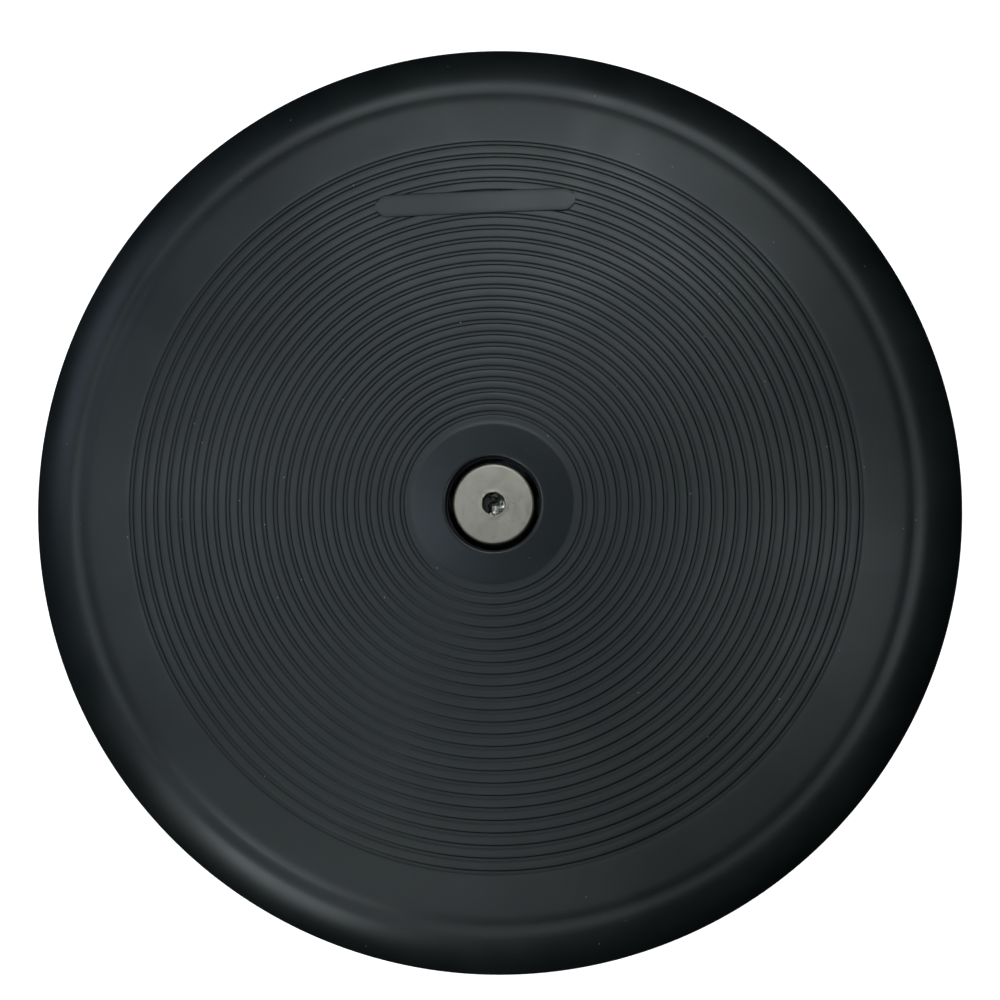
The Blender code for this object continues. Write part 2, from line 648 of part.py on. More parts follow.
def make_shell(body):
    flange_bottom = LIP_TOP + SEAT_GAP
    flange_top = flange_bottom + SHELL_FLANGE_THICKNESS
    hole = HOLE_RADIUS - SHELL_HOLE_STEP
    boss_bottom = HUB_FLANGE_TOP + SEAT_GAP
    outer = skin(SHELL_DEPTH, hole, roll_angle_at(SHELL_DEPTH, flange_bottom), 5, 4)
    crease = (CROWN_RADIUS - SHELL_UNDERSIDE) * math.sin(CREASE_ANGLE)
    end = roll_angle_at(SHELL_UNDERSIDE, flange_top)
    under = crown(SHELL_UNDERSIDE, hole, BOSS_INNER, 1)
    under += [(BOSS_INNER, boss_bottom), (HUB_FLANGE_RADIUS, boss_bottom)]
    under += crown(SHELL_UNDERSIDE, HUB_FLANGE_RADIUS, crease, 4)
    under += roll(SHELL_UNDERSIDE, end, 3)[1:]
    under += [(CLAMP_INNER, flange_top), (CLAMP_INNER, flange_bottom)]
    shell = piece("shell", turned(outer + under[::-1], LARGE), NYLON, body)

    middle = SHELL_UNDERSIDE - SHELL_THICKNESS / 2
    rib_start = HUB_FLANGE_RADIUS + RIB_INSET
    rib_root = HUB_FLANGE_RADIUS - RIB_INSET
    rib_low = crown_height(rib_start, SHELL_UNDERSIDE) - RIB_DEPTH
    rib_end = CLAMP_INNER + RIB_REACH * CLAMP_WIDTH
    flange_middle = flange_top - SHELL_FLANGE_THICKNESS / 2
    rib_outline = [
        (rib_root, boss_bottom + RIB_INSET),
        (rib_start, boss_bottom + RIB_INSET),
        (rib_start, rib_low),
        (CLAMP_INNER - RIB_INSET / 2, flange_top + RIB_INSET),
        (CLAMP_INNER + RIB_INSET / 2, flange_middle),
        (rib_end, flange_middle),
    ]
    rib_outline += crown(middle, rib_root, rib_end, 5)[::-1]
    ribs = [turned_to(prism(rib_outline, RIB_THICKNESS), a) for a in spread(RIB_COUNT, 0.0)]
    boolean(shell, gathered(ribs), "UNION")

    near = STOP_PLACE - STOP_RADIUS - LUG_EDGE
    far = STOP_PLACE + STOP_RADIUS + LUG_EDGE
    lug_outline = [(near, LUG_BOTTOM), (far, LUG_BOTTOM)]
    lug_outline += crown(middle, near, far, 2)[::-1]
    lugs = [turned_to(prism(lug_outline, 2 * STOP_RADIUS), a) for a in spread(STOP_COUNT, 0.0)]
    boolean(shell, gathered(lugs), "UNION")

    holes = []
    for angle in spread(HUB_SCREW_COUNT, HUB_SCREW_TURN):
        top = HUB_FLANGE_TOP + HUB_SCREW_DEPTH + HOLE_SPARE
        screw_hole = rod(HUB_SCREW_RADIUS + THREAD_GAP, HUB_FLANGE_BOTTOM, top, TINY)
        holes.append(turned_to(shifted(screw_hole, x=HUB_SCREW_PLACE), angle))
    for angle in spread(CLAMP_SCREW_COUNT, CLAMP_SCREW_TURN):
        top = flange_top + RIB_INSET
        screw_hole = rod(CLAMP_SCREW_RADIUS + THREAD_GAP, CLAMP_BOTTOM, top, TINY)
        holes.append(turned_to(shifted(screw_hole, x=CLAMP_SCREW_PLACE), angle))
    boolean(shell, gathered(holes), "DIFFERENCE")


def make_pad(body):
    collar = [(HOLE_RADIUS, crown_height(HOLE_RADIUS, 0.0) + COLLAR_RISE)]
    outer = collar + skin(0.0, COLLAR_RADIUS, ROLL_END, 5, 9)
    inner = skin(PAD_THICKNESS, HOLE_RADIUS, roll_angle_at(PAD_THICKNESS, LIP_TOP), 5, 4)
    lip = [(LIP_RADIUS, LIP_BOTTOM), (LIP_RADIUS, LIP_TOP)]
    piece("tread_pad", turned(outer + lip + inner[::-1], LARGE), RUBBER, body)


def make_clamp(body):
    top = LIP_TOP
    tongue_top = CLAMP_BOTTOM + CLAMP_TONGUE_THICKNESS
    section = [
        (CLAMP_INNER, top),
        (CLAMP_OUTER, top),
        (CLAMP_OUTER, tongue_top),
        (CLAMP_OUTER + CLAMP_TONGUE, tongue_top),
        (CLAMP_OUTER + CLAMP_TONGUE, CLAMP_BOTTOM),
        (CLAMP_INNER, CLAMP_BOTTOM),
    ]
    head_low = CLAMP_BOTTOM + SEAT_GAP
    head_top = head_low + CLAMP_SCREW_HEAD_HEIGHT
    tip = LIP_TOP + SHELL_FLANGE_THICKNESS
    half = 180.0 / CLAMP_COUNT - math.degrees(CLAMP_SPLIT / 2 / CLAMP_OUTER)
    screws = spread(CLAMP_SCREW_COUNT, CLAMP_SCREW_TURN - 180.0 / CLAMP_COUNT)
    share = CLAMP_SCREW_COUNT // CLAMP_COUNT
    for number, centre in enumerate(spread(CLAMP_COUNT, 0.0)):
        segment = turned_arc(section, centre - half, centre + half, LARGE // CLAMP_COUNT)
        segment = piece(f"clamp_segment_{number + 1}", segment, NYLON, body)
        holes = []
        for place in range(share * number, share * (number + 1)):
            hole = screw(
                CLAMP_SCREW_RADIUS + THREAD_GAP,
                CLAMP_SCREW_HEAD_RADIUS + SEAT_GAP,
                CLAMP_BOTTOM - OVERSHOOT,
                head_top + SEAT_GAP,
                top + OVERSHOOT,
                TINY,
            )
            holes.append(turned_to(shifted(hole, x=CLAMP_SCREW_PLACE), screws[place]))
            fixing = screw(
                CLAMP_SCREW_RADIUS, CLAMP_SCREW_HEAD_RADIUS, head_low, head_top, tip, TINY
            )
            fixing = turned_to(shifted(fixing, x=CLAMP_SCREW_PLACE), screws[place])
            piece(f"clamp_screw_{place + 1}", fixing, ZINC, body)
        boolean(segment, gathered(holes), "DIFFERENCE")


def main():
    for thing in list(bpy.data.objects):
        bpy.data.objects.remove(thing)
    base = axis_point("base_body", None, FLOOR_CENTRE)
    gimbal = axis_point("tilt_x_axis", base, PIVOT)
    top = axis_point("tilt_y_axis", gimbal, PIVOT)
    bpy.context.view_layer.update()
    make_base(base)
    make_pedestal(base)
    make_post(base)
    make_gimbal(gimbal)
    make_hub(top)
    make_shell(top)
    make_pad(top)
    make_clamp(top)


main()
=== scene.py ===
"""Wobble cushion: the finished surfaces, studio and camera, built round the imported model.

Lengths are in millimetres and angles in degrees unless a name says otherwise; MM turns a length
into metres. The floor is z = 0, the post stands on the Z axis, and +Y is up in the camera's view.
"""

import json
import math

import bmesh
import bpy
import numpy as np
from mathutils import Matrix, Vector, noise


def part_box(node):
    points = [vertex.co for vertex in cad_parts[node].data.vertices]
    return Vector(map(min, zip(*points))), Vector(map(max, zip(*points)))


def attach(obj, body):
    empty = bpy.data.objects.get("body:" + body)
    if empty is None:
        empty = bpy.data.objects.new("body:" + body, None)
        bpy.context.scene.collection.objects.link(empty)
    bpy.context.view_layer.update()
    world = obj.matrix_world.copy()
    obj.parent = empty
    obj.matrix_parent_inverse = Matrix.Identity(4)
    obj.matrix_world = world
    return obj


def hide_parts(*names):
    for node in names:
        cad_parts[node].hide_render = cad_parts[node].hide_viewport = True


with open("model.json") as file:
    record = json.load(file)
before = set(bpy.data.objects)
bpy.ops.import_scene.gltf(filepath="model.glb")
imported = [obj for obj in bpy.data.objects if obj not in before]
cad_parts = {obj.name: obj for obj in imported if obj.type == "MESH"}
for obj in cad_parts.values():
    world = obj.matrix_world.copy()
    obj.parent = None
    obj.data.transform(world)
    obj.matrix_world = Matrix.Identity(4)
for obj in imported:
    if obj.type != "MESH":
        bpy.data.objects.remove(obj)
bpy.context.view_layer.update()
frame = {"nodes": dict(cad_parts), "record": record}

MM = 0.001
SEAT_GAP = 0.3          # between pieces that touch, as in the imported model


def size_of(node):
    """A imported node's lowest and highest corner, in millimetres."""
    low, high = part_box(node)
    return low / MM, high / MM


# Driving sizes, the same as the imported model's
RIM_RADIUS = 165.0
CROWN_HEIGHT = 84.0
CROWN_RADIUS = 470.0
CREASE_RADIUS = 147.0
ROLL_END = 120.0
PAD_THICKNESS = 6.0
SHELL_THICKNESS = 4.0
LIP_THICKNESS = 4.0
LIP_WIDTH = 14.0
PIVOT_HEIGHT = 61.0
PIN_RADIUS = 4.0
POST_RADIUS = 14.0
POST_GAP = 2.5
POST_BORE_RADIUS = 4.2
HOLE_RADIUS = POST_RADIUS + POST_GAP
SHELL_HOLE = HOLE_RADIUS - SEAT_GAP
RIB_COUNT = 8
RIB_THICKNESS = 3.2
RIB_DEPTH = 15.0
RIB_INSET = 2.0
RIB_REACH = 6.0         # out over the shell's flange
SHELL_FLANGE_THICKNESS = 4.3
BOSS_GAP = 1.5          # between the hub and the shell's boss
CLAMP_WIDTH = 10.2
CLAMP_TONGUE = 3.8
CLAMP_TONGUE_THICKNESS = 1.7
CLAMP_HALF_TURN = 44.8  # half of one segment, in degrees
CLAMP_SCREW_TURN = 22.5
HUB_INNER = 30.0
HUB_OUTER = 39.0
HUB_FLANGE_DROP = 1.0   # under the pivot
HUB_FLANGE_RISE = 4.7   # over the pivot
HUB_SCREW_SHIFT = 1.0
GIMBAL_INNER = 19.5
GIMBAL_OUTER = 27.0
SPACER_RADIUS = 7.0
CROSS_SPACER_END = 17.9
TRUNNION_INNER = 20.0   # the trunnion pins' inner ends
FOOT_INNER = 96.0
FOOT_OUTER = 118.0
FOOT_RECESS = 3.0       # let into the base
BOLT_HOLE = 5.3
STOP_INSET = 20.0       # from the base's edge
STOP_RADIUS = 10.0
LUG_BOTTOM = 38.0
LUG_EDGE = 1.0          # past its bump stop

# The tread's relief
GROOVE_COUNT = 24
GROOVE_FIRST = 30.65    # inner edge of the innermost groove
GROOVE_PITCH = 3.92     # from the first groove to the second
GROOVE_GROWTH = 0.0235  # what each pitch adds to the one before
GROOVE_WIDTH = 1.75
GROOVE_DEPTH = 0.3
GROOVE_WALL = 0.34      # how wide a groove's sloping wall is
GROOVE_ROUND = 0.07     # rounding of its edges
COLLAR_RADIUS = 29.0
COLLAR_RISE = 0.12
COLLAR_ROUND = 1.6
COLLAR_FOOT = 1.2       # plain land past the collar
CREASE_DEPTH = 0.55
CREASE_WIDTH = 2.2
LIP_ROUND = 0.7         # rounded edge of the central hole
PLATE_LENGTH = 70.0     # blank moulded plate across the rings
PLATE_WIDTH = 8.0
PLATE_RISE = 0.45
PLATE_CENTRE = (-6.8, 106.0)
PLATE_TURN = 2.0

POST_CORNER = 1.1       # rounding of the post's end
BURR_SIDE = math.radians(230.0)   # where the bore's burr is heaviest
SHARD_SIDE = math.radians(-25.0)  # where the torn screw stands highest

SEGMENTS = 300          # round the tread pad
FINE = 192              # round the other large pieces
MIDDLE = 96             # round the small ones

# Studio
CAMERA_DISTANCE = 1365.0
CAMERA_TO_RIGHT = 2.1   # the camera's lean from straight above
CAMERA_TO_FRONT = 3.0
VIEW_HALF_WIDTH = 178.6 # at the rim's height
AIM = (0.58, 3.75)      # the view's middle, beside the post's axis

# Sizes that follow
CREASE_ANGLE = math.asin(CREASE_RADIUS / CROWN_RADIUS)
ROLL_RADIUS = (RIM_RADIUS - CREASE_RADIUS) / (1.0 - math.sin(CREASE_ANGLE))
ROLL_CENTRE_RADIUS = RIM_RADIUS - ROLL_RADIUS
ROLL_CENTRE_HEIGHT = (
    CROWN_HEIGHT - CROWN_RADIUS + (CROWN_RADIUS - ROLL_RADIUS) * math.cos(CREASE_ANGLE)
)
CREASE_PATH = CROWN_RADIUS * CREASE_ANGLE
ROLL_PATH = CREASE_PATH + ROLL_RADIUS * (math.radians(ROLL_END) - CREASE_ANGLE)
LIP_BOTTOM = ROLL_CENTRE_HEIGHT + ROLL_RADIUS * math.cos(math.radians(ROLL_END))
LIP_TOP = LIP_BOTTOM + LIP_THICKNESS
LIP_RADIUS = (
    ROLL_CENTRE_RADIUS + ROLL_RADIUS * math.sin(math.radians(ROLL_END)) - LIP_WIDTH
)
COLLAR_END = COLLAR_RADIUS + COLLAR_FOOT
POST_LOW, POST_HIGH = size_of("post")
SHELL_DEPTH = PAD_THICKNESS + SEAT_GAP
SHELL_UNDERSIDE = SHELL_DEPTH + SHELL_THICKNESS
CLAMP_OUTER = LIP_RADIUS - SEAT_GAP
CLAMP_INNER = CLAMP_OUTER - CLAMP_WIDTH
CLAMP_BOTTOM = LIP_BOTTOM - SEAT_GAP - CLAMP_TONGUE_THICKNESS
CLAMP_SCREW_PLACE = (CLAMP_INNER + CLAMP_OUTER) / 2
SHELL_FLANGE_TOP = LIP_TOP + SEAT_GAP + SHELL_FLANGE_THICKNESS
HUB_LOW, HUB_HIGH = size_of("hub")
HUB_FLANGE_RADIUS = HUB_HIGH.x
HUB_FLANGE_LOW = PIVOT_HEIGHT - HUB_FLANGE_DROP
HUB_FLANGE_HIGH = PIVOT_HEIGHT + HUB_FLANGE_RISE
HUB_SCREW_PLACE = (HUB_OUTER + HUB_FLANGE_RADIUS) / 2 + HUB_SCREW_SHIFT
BASE_LOW, BASE_HIGH = size_of("base_plate")
BASE_RADIUS = BASE_HIGH.x
BASE_TOP = BASE_HIGH.z
STOP_PLACE = BASE_RADIUS - STOP_INSET


# Nodes and materials

def linear(colour):
    """An sRGB hex colour as linear red, green, blue and alpha."""
    channels = [int(colour[place:place + 2], 16) / 255.0 for place in (1, 3, 5)]
    bent = [c / 12.92 if c <= 0.04045 else ((c + 0.055) / 1.055) ** 2.4 for c in channels]
    return (*bent, 1.0)


def add(tree, kind, inputs=None, **settings):
    """Adds one node with its settings; each input is a value, or a socket to link from."""
    node = tree.nodes.new(kind)
    for name, value in settings.items():
        setattr(node, name, value)
    for name, value in (inputs or {}).items():
        if isinstance(value, bpy.types.NodeSocket):
            tree.links.new(value, node.inputs[name])
        else:
            node.inputs[name].default_value = value
    return node


def surface(name, metallic, roughness, ior=1.5):
    """A material with its Principled shader and Object coordinates ready."""
    material = bpy.data.materials.new(name)
    material.use_nodes = True
    tree = material.node_tree
    shader = tree.nodes["Principled BSDF"]
    shader.inputs["Metallic"].default_value = metallic
    shader.inputs["Roughness"].default_value = roughness
    shader.inputs["IOR"].default_value = ior
    place = add(tree, "ShaderNodeTexCoord").outputs["Object"]
    return material, tree, shader, place


def per_mm(length):
    """A texture's scale for a feature of a length in millimetres."""
    return 1.0 / (length * MM)


def moulded_rubber():
    """Natural and SBR rubber, compression moulded: satin black with a grey-green bloom.

    Bloom and handling leave soft blotches, the mould's blasted face leaves a fine grain, and
    a little pale dust clings to it. The groove walls are painted darker and less shiny: painted
    shade.
    """
    material, tree, shader, place = surface("moulded_rubber", 0.0, 0.42, 1.56)
    relief = add(tree, "ShaderNodeAttribute", attribute_name="relief").outputs["Fac"]
    bloom = add(tree, "ShaderNodeTexNoise", {
        "Vector": place, "Scale": per_mm(26.0), "Detail": 4.0, "Roughness": 0.6,
    })
    blotch = add(tree, "ShaderNodeMapRange", {
        "Value": bloom.outputs["Fac"], "From Min": 0.36, "From Max": 0.66,
    })
    skin = add(tree, "ShaderNodeMix", {
        0: blotch.outputs["Result"], 6: linear("#101617"), 7: linear("#191e1e"),
    }, data_type="RGBA")
    # painted shade: groove walls (relief 1) are painted near black
    groove_painted_shade = add(tree, "ShaderNodeMix", {
        0: relief, 6: skin.outputs[2], 7: linear("#0c0f10"),
    }, data_type="RGBA", clamp_factor=True)
    cells = add(tree, "ShaderNodeTexVoronoi", {"Vector": place, "Scale": per_mm(9.0)})
    speck = add(tree, "ShaderNodeMapRange", {
        "Value": cells.outputs["Distance"], "From Min": 0.03, "From Max": 0.018,
    })
    dusty = add(tree, "ShaderNodeMix", {
        0: speck.outputs["Result"], 6: groove_painted_shade.outputs[2], 7: linear("#7d8580"),
    }, data_type="RGBA")
    tree.links.new(dusty.outputs[2], shader.inputs["Base Color"])
    # painted shade: the groove walls get less sheen
    groove_sheen_shade = add(tree, "ShaderNodeMapRange", {
        "Value": relief, "From Min": 0.0, "From Max": 1.0, "To Min": 0.5, "To Max": 0.18,
    })
    tree.links.new(groove_sheen_shade.outputs["Result"], shader.inputs["Specular IOR Level"])
    smears = add(tree, "ShaderNodeTexNoise", {
        "Vector": place, "Scale": per_mm(48.0), "Detail": 5.0, "Distortion": 0.6,
    })
    land = add(tree, "ShaderNodeMapRange", {
        "Value": smears.outputs["Fac"], "From Min": 0.3, "From Max": 0.7,
        "To Min": 0.40, "To Max": 0.50,
    })
    rough = add(tree, "ShaderNodeMapRange", {
        "Value": relief, "From Min": 0.0, "From Max": -1.0,
        "To Min": land.outputs["Result"], "To Max": 0.3,
    })
    tree.links.new(rough.outputs["Result"], shader.inputs["Roughness"])
    # the blasted grain is 0.1 mm on the mould; 0.5 mm is as fine as shows
    grain = add(tree, "ShaderNodeTexNoise", {
        "Vector": place, "Scale": per_mm(0.5), "Detail": 3.0,
    })
    bump = add(tree, "ShaderNodeBump", {
        "Height": grain.outputs["Fac"], "Strength": 0.16, "Distance": 0.05 * MM,
    })
    tree.links.new(bump.outputs["Normal"], shader.inputs["Normal"])
    return material


def soft_rubber():
    """EPDM rubber, moulded matt: dull black with chalky scuffs where it rubs."""
    material, tree, shader, place = surface("soft_rubber", 0.0, 0.72, 1.5)
    scuffs = add(tree, "ShaderNodeTexNoise", {
        "Vector": place, "Scale": per_mm(9.0), "Detail": 6.0, "Roughness": 0.7,
    })
    worn = add(tree, "ShaderNodeMapRange", {
        "Value": scuffs.outputs["Fac"], "From Min": 0.5, "From Max": 0.75,
    })
    colour = add(tree, "ShaderNodeMix", {
        0: worn.outputs["Result"], 6: linear("#1c1d1e"), 7: linear("#333536"),
    }, data_type="RGBA")
    tree.links.new(colour.outputs[2], shader.inputs["Base Color"])
    grain = add(tree, "ShaderNodeTexNoise", {"Vector": place, "Scale": per_mm(0.6)})
    bump = add(tree, "ShaderNodeBump", {
        "Height": grain.outputs["Fac"], "Strength": 0.25, "Distance": 0.06 * MM,
    })
    tree.links.new(bump.outputs["Normal"], shader.inputs["Normal"])
    return material


def glass_nylon(name, dark, light):
    """Glass-filled nylon 6, injection moulded: spark-eroded grain and faint flow streaks."""
    material, tree, shader, place = surface(name, 0.0, 0.5, 1.53)
    stretched = add(tree, "ShaderNodeMapping", {"Vector": place, "Scale": (1.0, 1.0, 4.0)})
    flow = add(tree, "ShaderNodeTexNoise", {
        "Vector": stretched.outputs["Vector"], "Scale": per_mm(14.0), "Detail": 5.0,
        "Distortion": 1.2,
    })
    colour = add(tree, "ShaderNodeMix", {
        0: flow.outputs["Fac"], 6: linear(dark), 7: linear(light),
    }, data_type="RGBA")
    tree.links.new(colour.outputs[2], shader.inputs["Base Color"])
    spark = add(tree, "ShaderNodeTexVoronoi", {"Vector": place, "Scale": per_mm(0.8)})
    bump = add(tree, "ShaderNodeBump", {
        "Height": spark.outputs["Distance"], "Strength": 0.3, "Distance": 0.05 * MM,
    })
    tree.links.new(bump.outputs["Normal"], shader.inputs["Normal"])
    return material


def faced_steel():
    """Cold-drawn mild steel bar, faced in a lathe: dull grey, fine rings, thumbed smears."""
    material, tree, shader, place = surface("faced_steel", 0.9, 0.45)
    smears = add(tree, "ShaderNodeTexNoise", {
        "Vector": place, "Scale": per_mm(7.0), "Detail": 5.0, "Roughness": 0.62,
        "Distortion": 1.5,
    })
    cloudy = add(tree, "ShaderNodeMapRange", {
        "Value": smears.outputs["Fac"], "From Min": 0.35, "From Max": 0.7,
    })
    plain = add(tree, "ShaderNodeMix", {
        0: cloudy.outputs["Result"], 6: linear("#a29c8f"), 7: linear("#b1aa9d"),
    }, data_type="RGBA")
    cells = add(tree, "ShaderNodeTexVoronoi", {"Vector": place, "Scale": per_mm(1.7)})
    pit = add(tree, "ShaderNodeMapRange", {
        "Value": cells.outputs["Distance"], "From Min": 0.12, "From Max": 0.06,
        "To Max": 0.6,
    })
    pitted = add(tree, "ShaderNodeMix", {
        0: pit.outputs["Result"], 6: plain.outputs[2], 7: linear("#3f413d"),
    }, data_type="RGBA")
    tree.links.new(pitted.outputs[2], shader.inputs["Base Color"])
    rough = add(tree, "ShaderNodeMapRange", {
        "Value": smears.outputs["Fac"], "From Min": 0.3, "From Max": 0.7,
        "To Min": 0.38, "To Max": 0.56,
    })
    tree.links.new(rough.outputs["Result"], shader.inputs["Roughness"])
    feed = add(tree, "ShaderNodeTexWave", {
        "Vector": place, "Scale": per_mm(2.2), "Distortion": 1.2, "Detail": 2.0,
    }, wave_type="RINGS", rings_direction="Z")
    bump = add(tree, "ShaderNodeBump", {
        "Height": feed.outputs["Fac"], "Strength": 0.12, "Distance": 0.03 * MM,
    })
    tree.links.new(bump.outputs["Normal"], shader.inputs["Normal"])
    return material


def machined_metal(name, dark, light, roughness):
    """Bare, plated or blackened steel, or brass: fine scratches and a little staining."""
    material, tree, shader, place = surface(name, 1.0, roughness)
    stains = add(tree, "ShaderNodeTexNoise", {
        "Vector": place, "Scale": per_mm(4.0), "Detail": 6.0, "Roughness": 0.65,
    })
    colour = add(tree, "ShaderNodeMix", {
        0: stains.outputs["Fac"], 6: linear(dark), 7: linear(light),
    }, data_type="RGBA")
    tree.links.new(colour.outputs[2], shader.inputs["Base Color"])
    rough = add(tree, "ShaderNodeMapRange", {
        "Value": stains.outputs["Fac"], "From Min": 0.3, "From Max": 0.7,
        "To Min": roughness - 0.08, "To Max": roughness + 0.1,
    })
    tree.links.new(rough.outputs["Result"], shader.inputs["Roughness"])
    drawn = add(tree, "ShaderNodeMapping", {"Vector": place, "Scale": (1.0, 1.0, 9.0)})
    lines = add(tree, "ShaderNodeTexNoise", {
        "Vector": drawn.outputs["Vector"], "Scale": per_mm(1.2), "Detail": 3.0,
    })
    bump = add(tree, "ShaderNodeBump", {
        "Height": lines.outputs["Fac"], "Strength": 0.15, "Distance": 0.03 * MM,
    })
    tree.links.new(bump.outputs["Normal"], shader.inputs["Normal"])
    return material


def torn_steel():
    """The end of the lock screw in its bore, left torn and bright by the key."""
    material, tree, shader, place = surface("torn_steel", 1.0, 0.34)
    tear = add(tree, "ShaderNodeTexVoronoi", {"Vector": place, "Scale": per_mm(2.4)})
    colour = add(tree, "ShaderNodeMix", {
        0: tear.outputs["Distance"], 6: linear("#eeefe8"), 7: linear("#8a8b84"),
    }, data_type="RGBA")
    # painted shade: metal sunk low in the bore is painted darker, as its depth shadow
    height = add(tree, "ShaderNodeSeparateXYZ", {"Vector": place})
    sunk = size_of("cross_pin_lock_screw")[1].z * MM
    out_of_shade = add(tree, "ShaderNodeMapRange", {
        "Value": height.outputs["Z"],
        "From Min": sunk + 0.3 * MM, "From Max": sunk + 1.8 * MM,
    })
    painted_depth_shade = add(tree, "ShaderNodeMix", {
        0: out_of_shade.outputs["Result"], 6: linear("#454542"), 7: colour.outputs[2],
    }, data_type="RGBA")
    tree.links.new(painted_depth_shade.outputs[2], shader.inputs["Base Color"])
    bump = add(tree, "ShaderNodeBump", {
        "Height": tear.outputs["Distance"], "Strength": 0.5, "Distance": 0.2 * MM,
    })
    tree.links.new(bump.outputs["Normal"], shader.inputs["Normal"])
    return material


def cast_aluminium():
    """LM25 aluminium, sand cast and shot blasted: pale grey with an even pebbled skin."""
    material, tree, shader, place = surface("cast_aluminium", 1.0, 0.55)
    tone = add(tree, "ShaderNodeTexNoise", {"Vector": place, "Scale": per_mm(12.0), "Detail": 5.0})
    colour = add(tree, "ShaderNodeMix", {
        0: tone.outputs["Fac"], 6: linear("#9a9c9d"), 7: linear("#b9bbbb"),
    }, data_type="RGBA")
    tree.links.new(colour.outputs[2], shader.inputs["Base Color"])
    sand = add(tree, "ShaderNodeTexVoronoi", {"Vector": place, "Scale": per_mm(0.9)})
    bump = add(tree, "ShaderNodeBump", {
        "Height": sand.outputs["Distance"], "Strength": 0.5, "Distance": 0.12 * MM,
    })
    tree.links.new(bump.outputs["Normal"], shader.inputs["Normal"])
    return material


def powder_coat():
    """Black polyester powder coat on cast iron: fine orange peel, edges rubbed duller."""
    material, tree, shader, place = surface("powder_coat", 0.0, 0.42, 1.52)
    tone = add(tree, "ShaderNodeTexNoise", {"Vector": place, "Scale": per_mm(30.0), "Detail": 4.0})
    colour = add(tree, "ShaderNodeMix", {
        0: tone.outputs["Fac"], 6: linear("#1f2123"), 7: linear("#2b2d2f"),
    }, data_type="RGBA")
    tree.links.new(colour.outputs[2], shader.inputs["Base Color"])
    peel = add(tree, "ShaderNodeTexNoise", {"Vector": place, "Scale": per_mm(1.3), "Detail": 2.0})
    bump = add(tree, "ShaderNodeBump", {
        "Height": peel.outputs["Fac"], "Strength": 0.4, "Distance": 0.12 * MM,
    })
    tree.links.new(bump.outputs["Normal"], shader.inputs["Normal"])
    return material


def studio_paper():
    """White seamless background paper, lit until it is nearly pure white."""
    material, tree, shader, place = surface("studio_paper", 0.0, 0.9)
    fibre = add(tree, "ShaderNodeTexNoise", {"Vector": place, "Scale": per_mm(3.0), "Detail": 3.0})
    colour = add(tree, "ShaderNodeMix", {
        0: fibre.outputs["Fac"], 6: linear("#f6f6f6"), 7: linear("#fbfbfb"),
    }, data_type="RGBA")
    tree.links.new(colour.outputs[2], shader.inputs["Base Color"])
    shader.inputs["Emission Color"].default_value = linear("#ffffff")
    shader.inputs["Emission Strength"].default_value = 0.95
    return material


LOOKS = {
    "tread_rubber": moulded_rubber(),
    "soft_rubber": soft_rubber(),
    "black_nylon": glass_nylon("black_glass_nylon", "#1f2122", "#2b2d2e"),
    "black_acetal": glass_nylon("turned_acetal", "#141516", "#1c1d1e"),
    "post_steel": faced_steel(),
    "forged_steel": machined_metal("forged_steel", "#77787a", "#98999a", 0.42),
    "zinc_steel": machined_metal("zinc_plated_steel", "#a9adb0", "#c9ccce", 0.3),
    "black_steel": machined_metal("blackened_steel", "#262729", "#3a3b3d", 0.42),
    "cast_aluminium": cast_aluminium(),
    "painted_iron": powder_coat(),
}


# Shapes

def turned(profile, segments):
    """Points and faces of a closed profile of (radius, height) turned about Z.

    Every radius is above zero, or the profile starts and ends on the axis.
    """
    angles = 2.0 * math.pi * np.arange(segments) / segments
    points = []
    rings = []
    for radius, height in profile:
        count = segments if radius > 0.0 else 1
        rings.append(range(len(points), len(points) + count))
        points += [(radius * math.cos(a), radius * math.sin(a), height) for a in angles[:count]]
    faces = []
    for upper, lower in zip(rings, rings[1:] + rings[:1]):
        if len(upper) == 1 and len(lower) == 1:
            continue
        for step in range(segments):
            following = (step + 1) % segments
            corners = [upper[step % len(upper)], lower[step % len(lower)]]
            corners += [lower[following % len(lower)], upper[following % len(upper)]]
            faces.append(list(dict.fromkeys(corners)))
    return points, faces


def rounded(profile, radius, steps=4):
    """The same closed profile with each corner off the axis rounded to an arc."""
    result = []
    count = len(profile)
    for place, corner in enumerate(profile):
        if corner[0] <= 0.0:
            result.append(corner)
            continue
        here = Vector(corner)
        before = Vector(profile[place - 1]) - here
        after = Vector(profile[(place + 1) % count]) - here
        reach = min(radius, 0.45 * before.length, 0.45 * after.length)
        start = here + before.normalized() * reach
        end = here + after.normalized() * reach
        for step in range(steps + 1):
            share = step / steps
            point = start * (1 - share) ** 2 + here * 2 * share * (1 - share) + end * share**2
            result.append(tuple(point))
    return result


def turned_arc(profile, half, steps):
    """Points and faces of a closed profile turned from -half to +half degrees, with ends."""
    points = []
    for step in range(steps + 1):
        angle = math.radians(half * (2.0 * step / steps - 1.0))
        points += [(r * math.cos(angle), r * math.sin(angle), z) for r, z in profile]
    count = len(profile)
    faces = [list(range(count)), list(range(steps * count, (steps + 1) * count))]
    for step in range(steps):
        near, far = step * count, (step + 1) * count
        for corner in range(count):
            following = (corner + 1) % count
            faces.append([near + corner, near + following, far + following, far + corner])
    return points, faces


def prism(outline, thickness):
    """Points and faces of a plate of the given (radius, height) outline, in the X-Z plane."""
    count = len(outline)
    points = [(x, side * thickness / 2, z) for side in (-1, 1) for x, z in outline]
    faces = [list(range(count)), list(range(count, 2 * count))]
    for step in range(count):
        following = (step + 1) % count
        faces.append([step, following, count + following, count + step])
    return points, faces


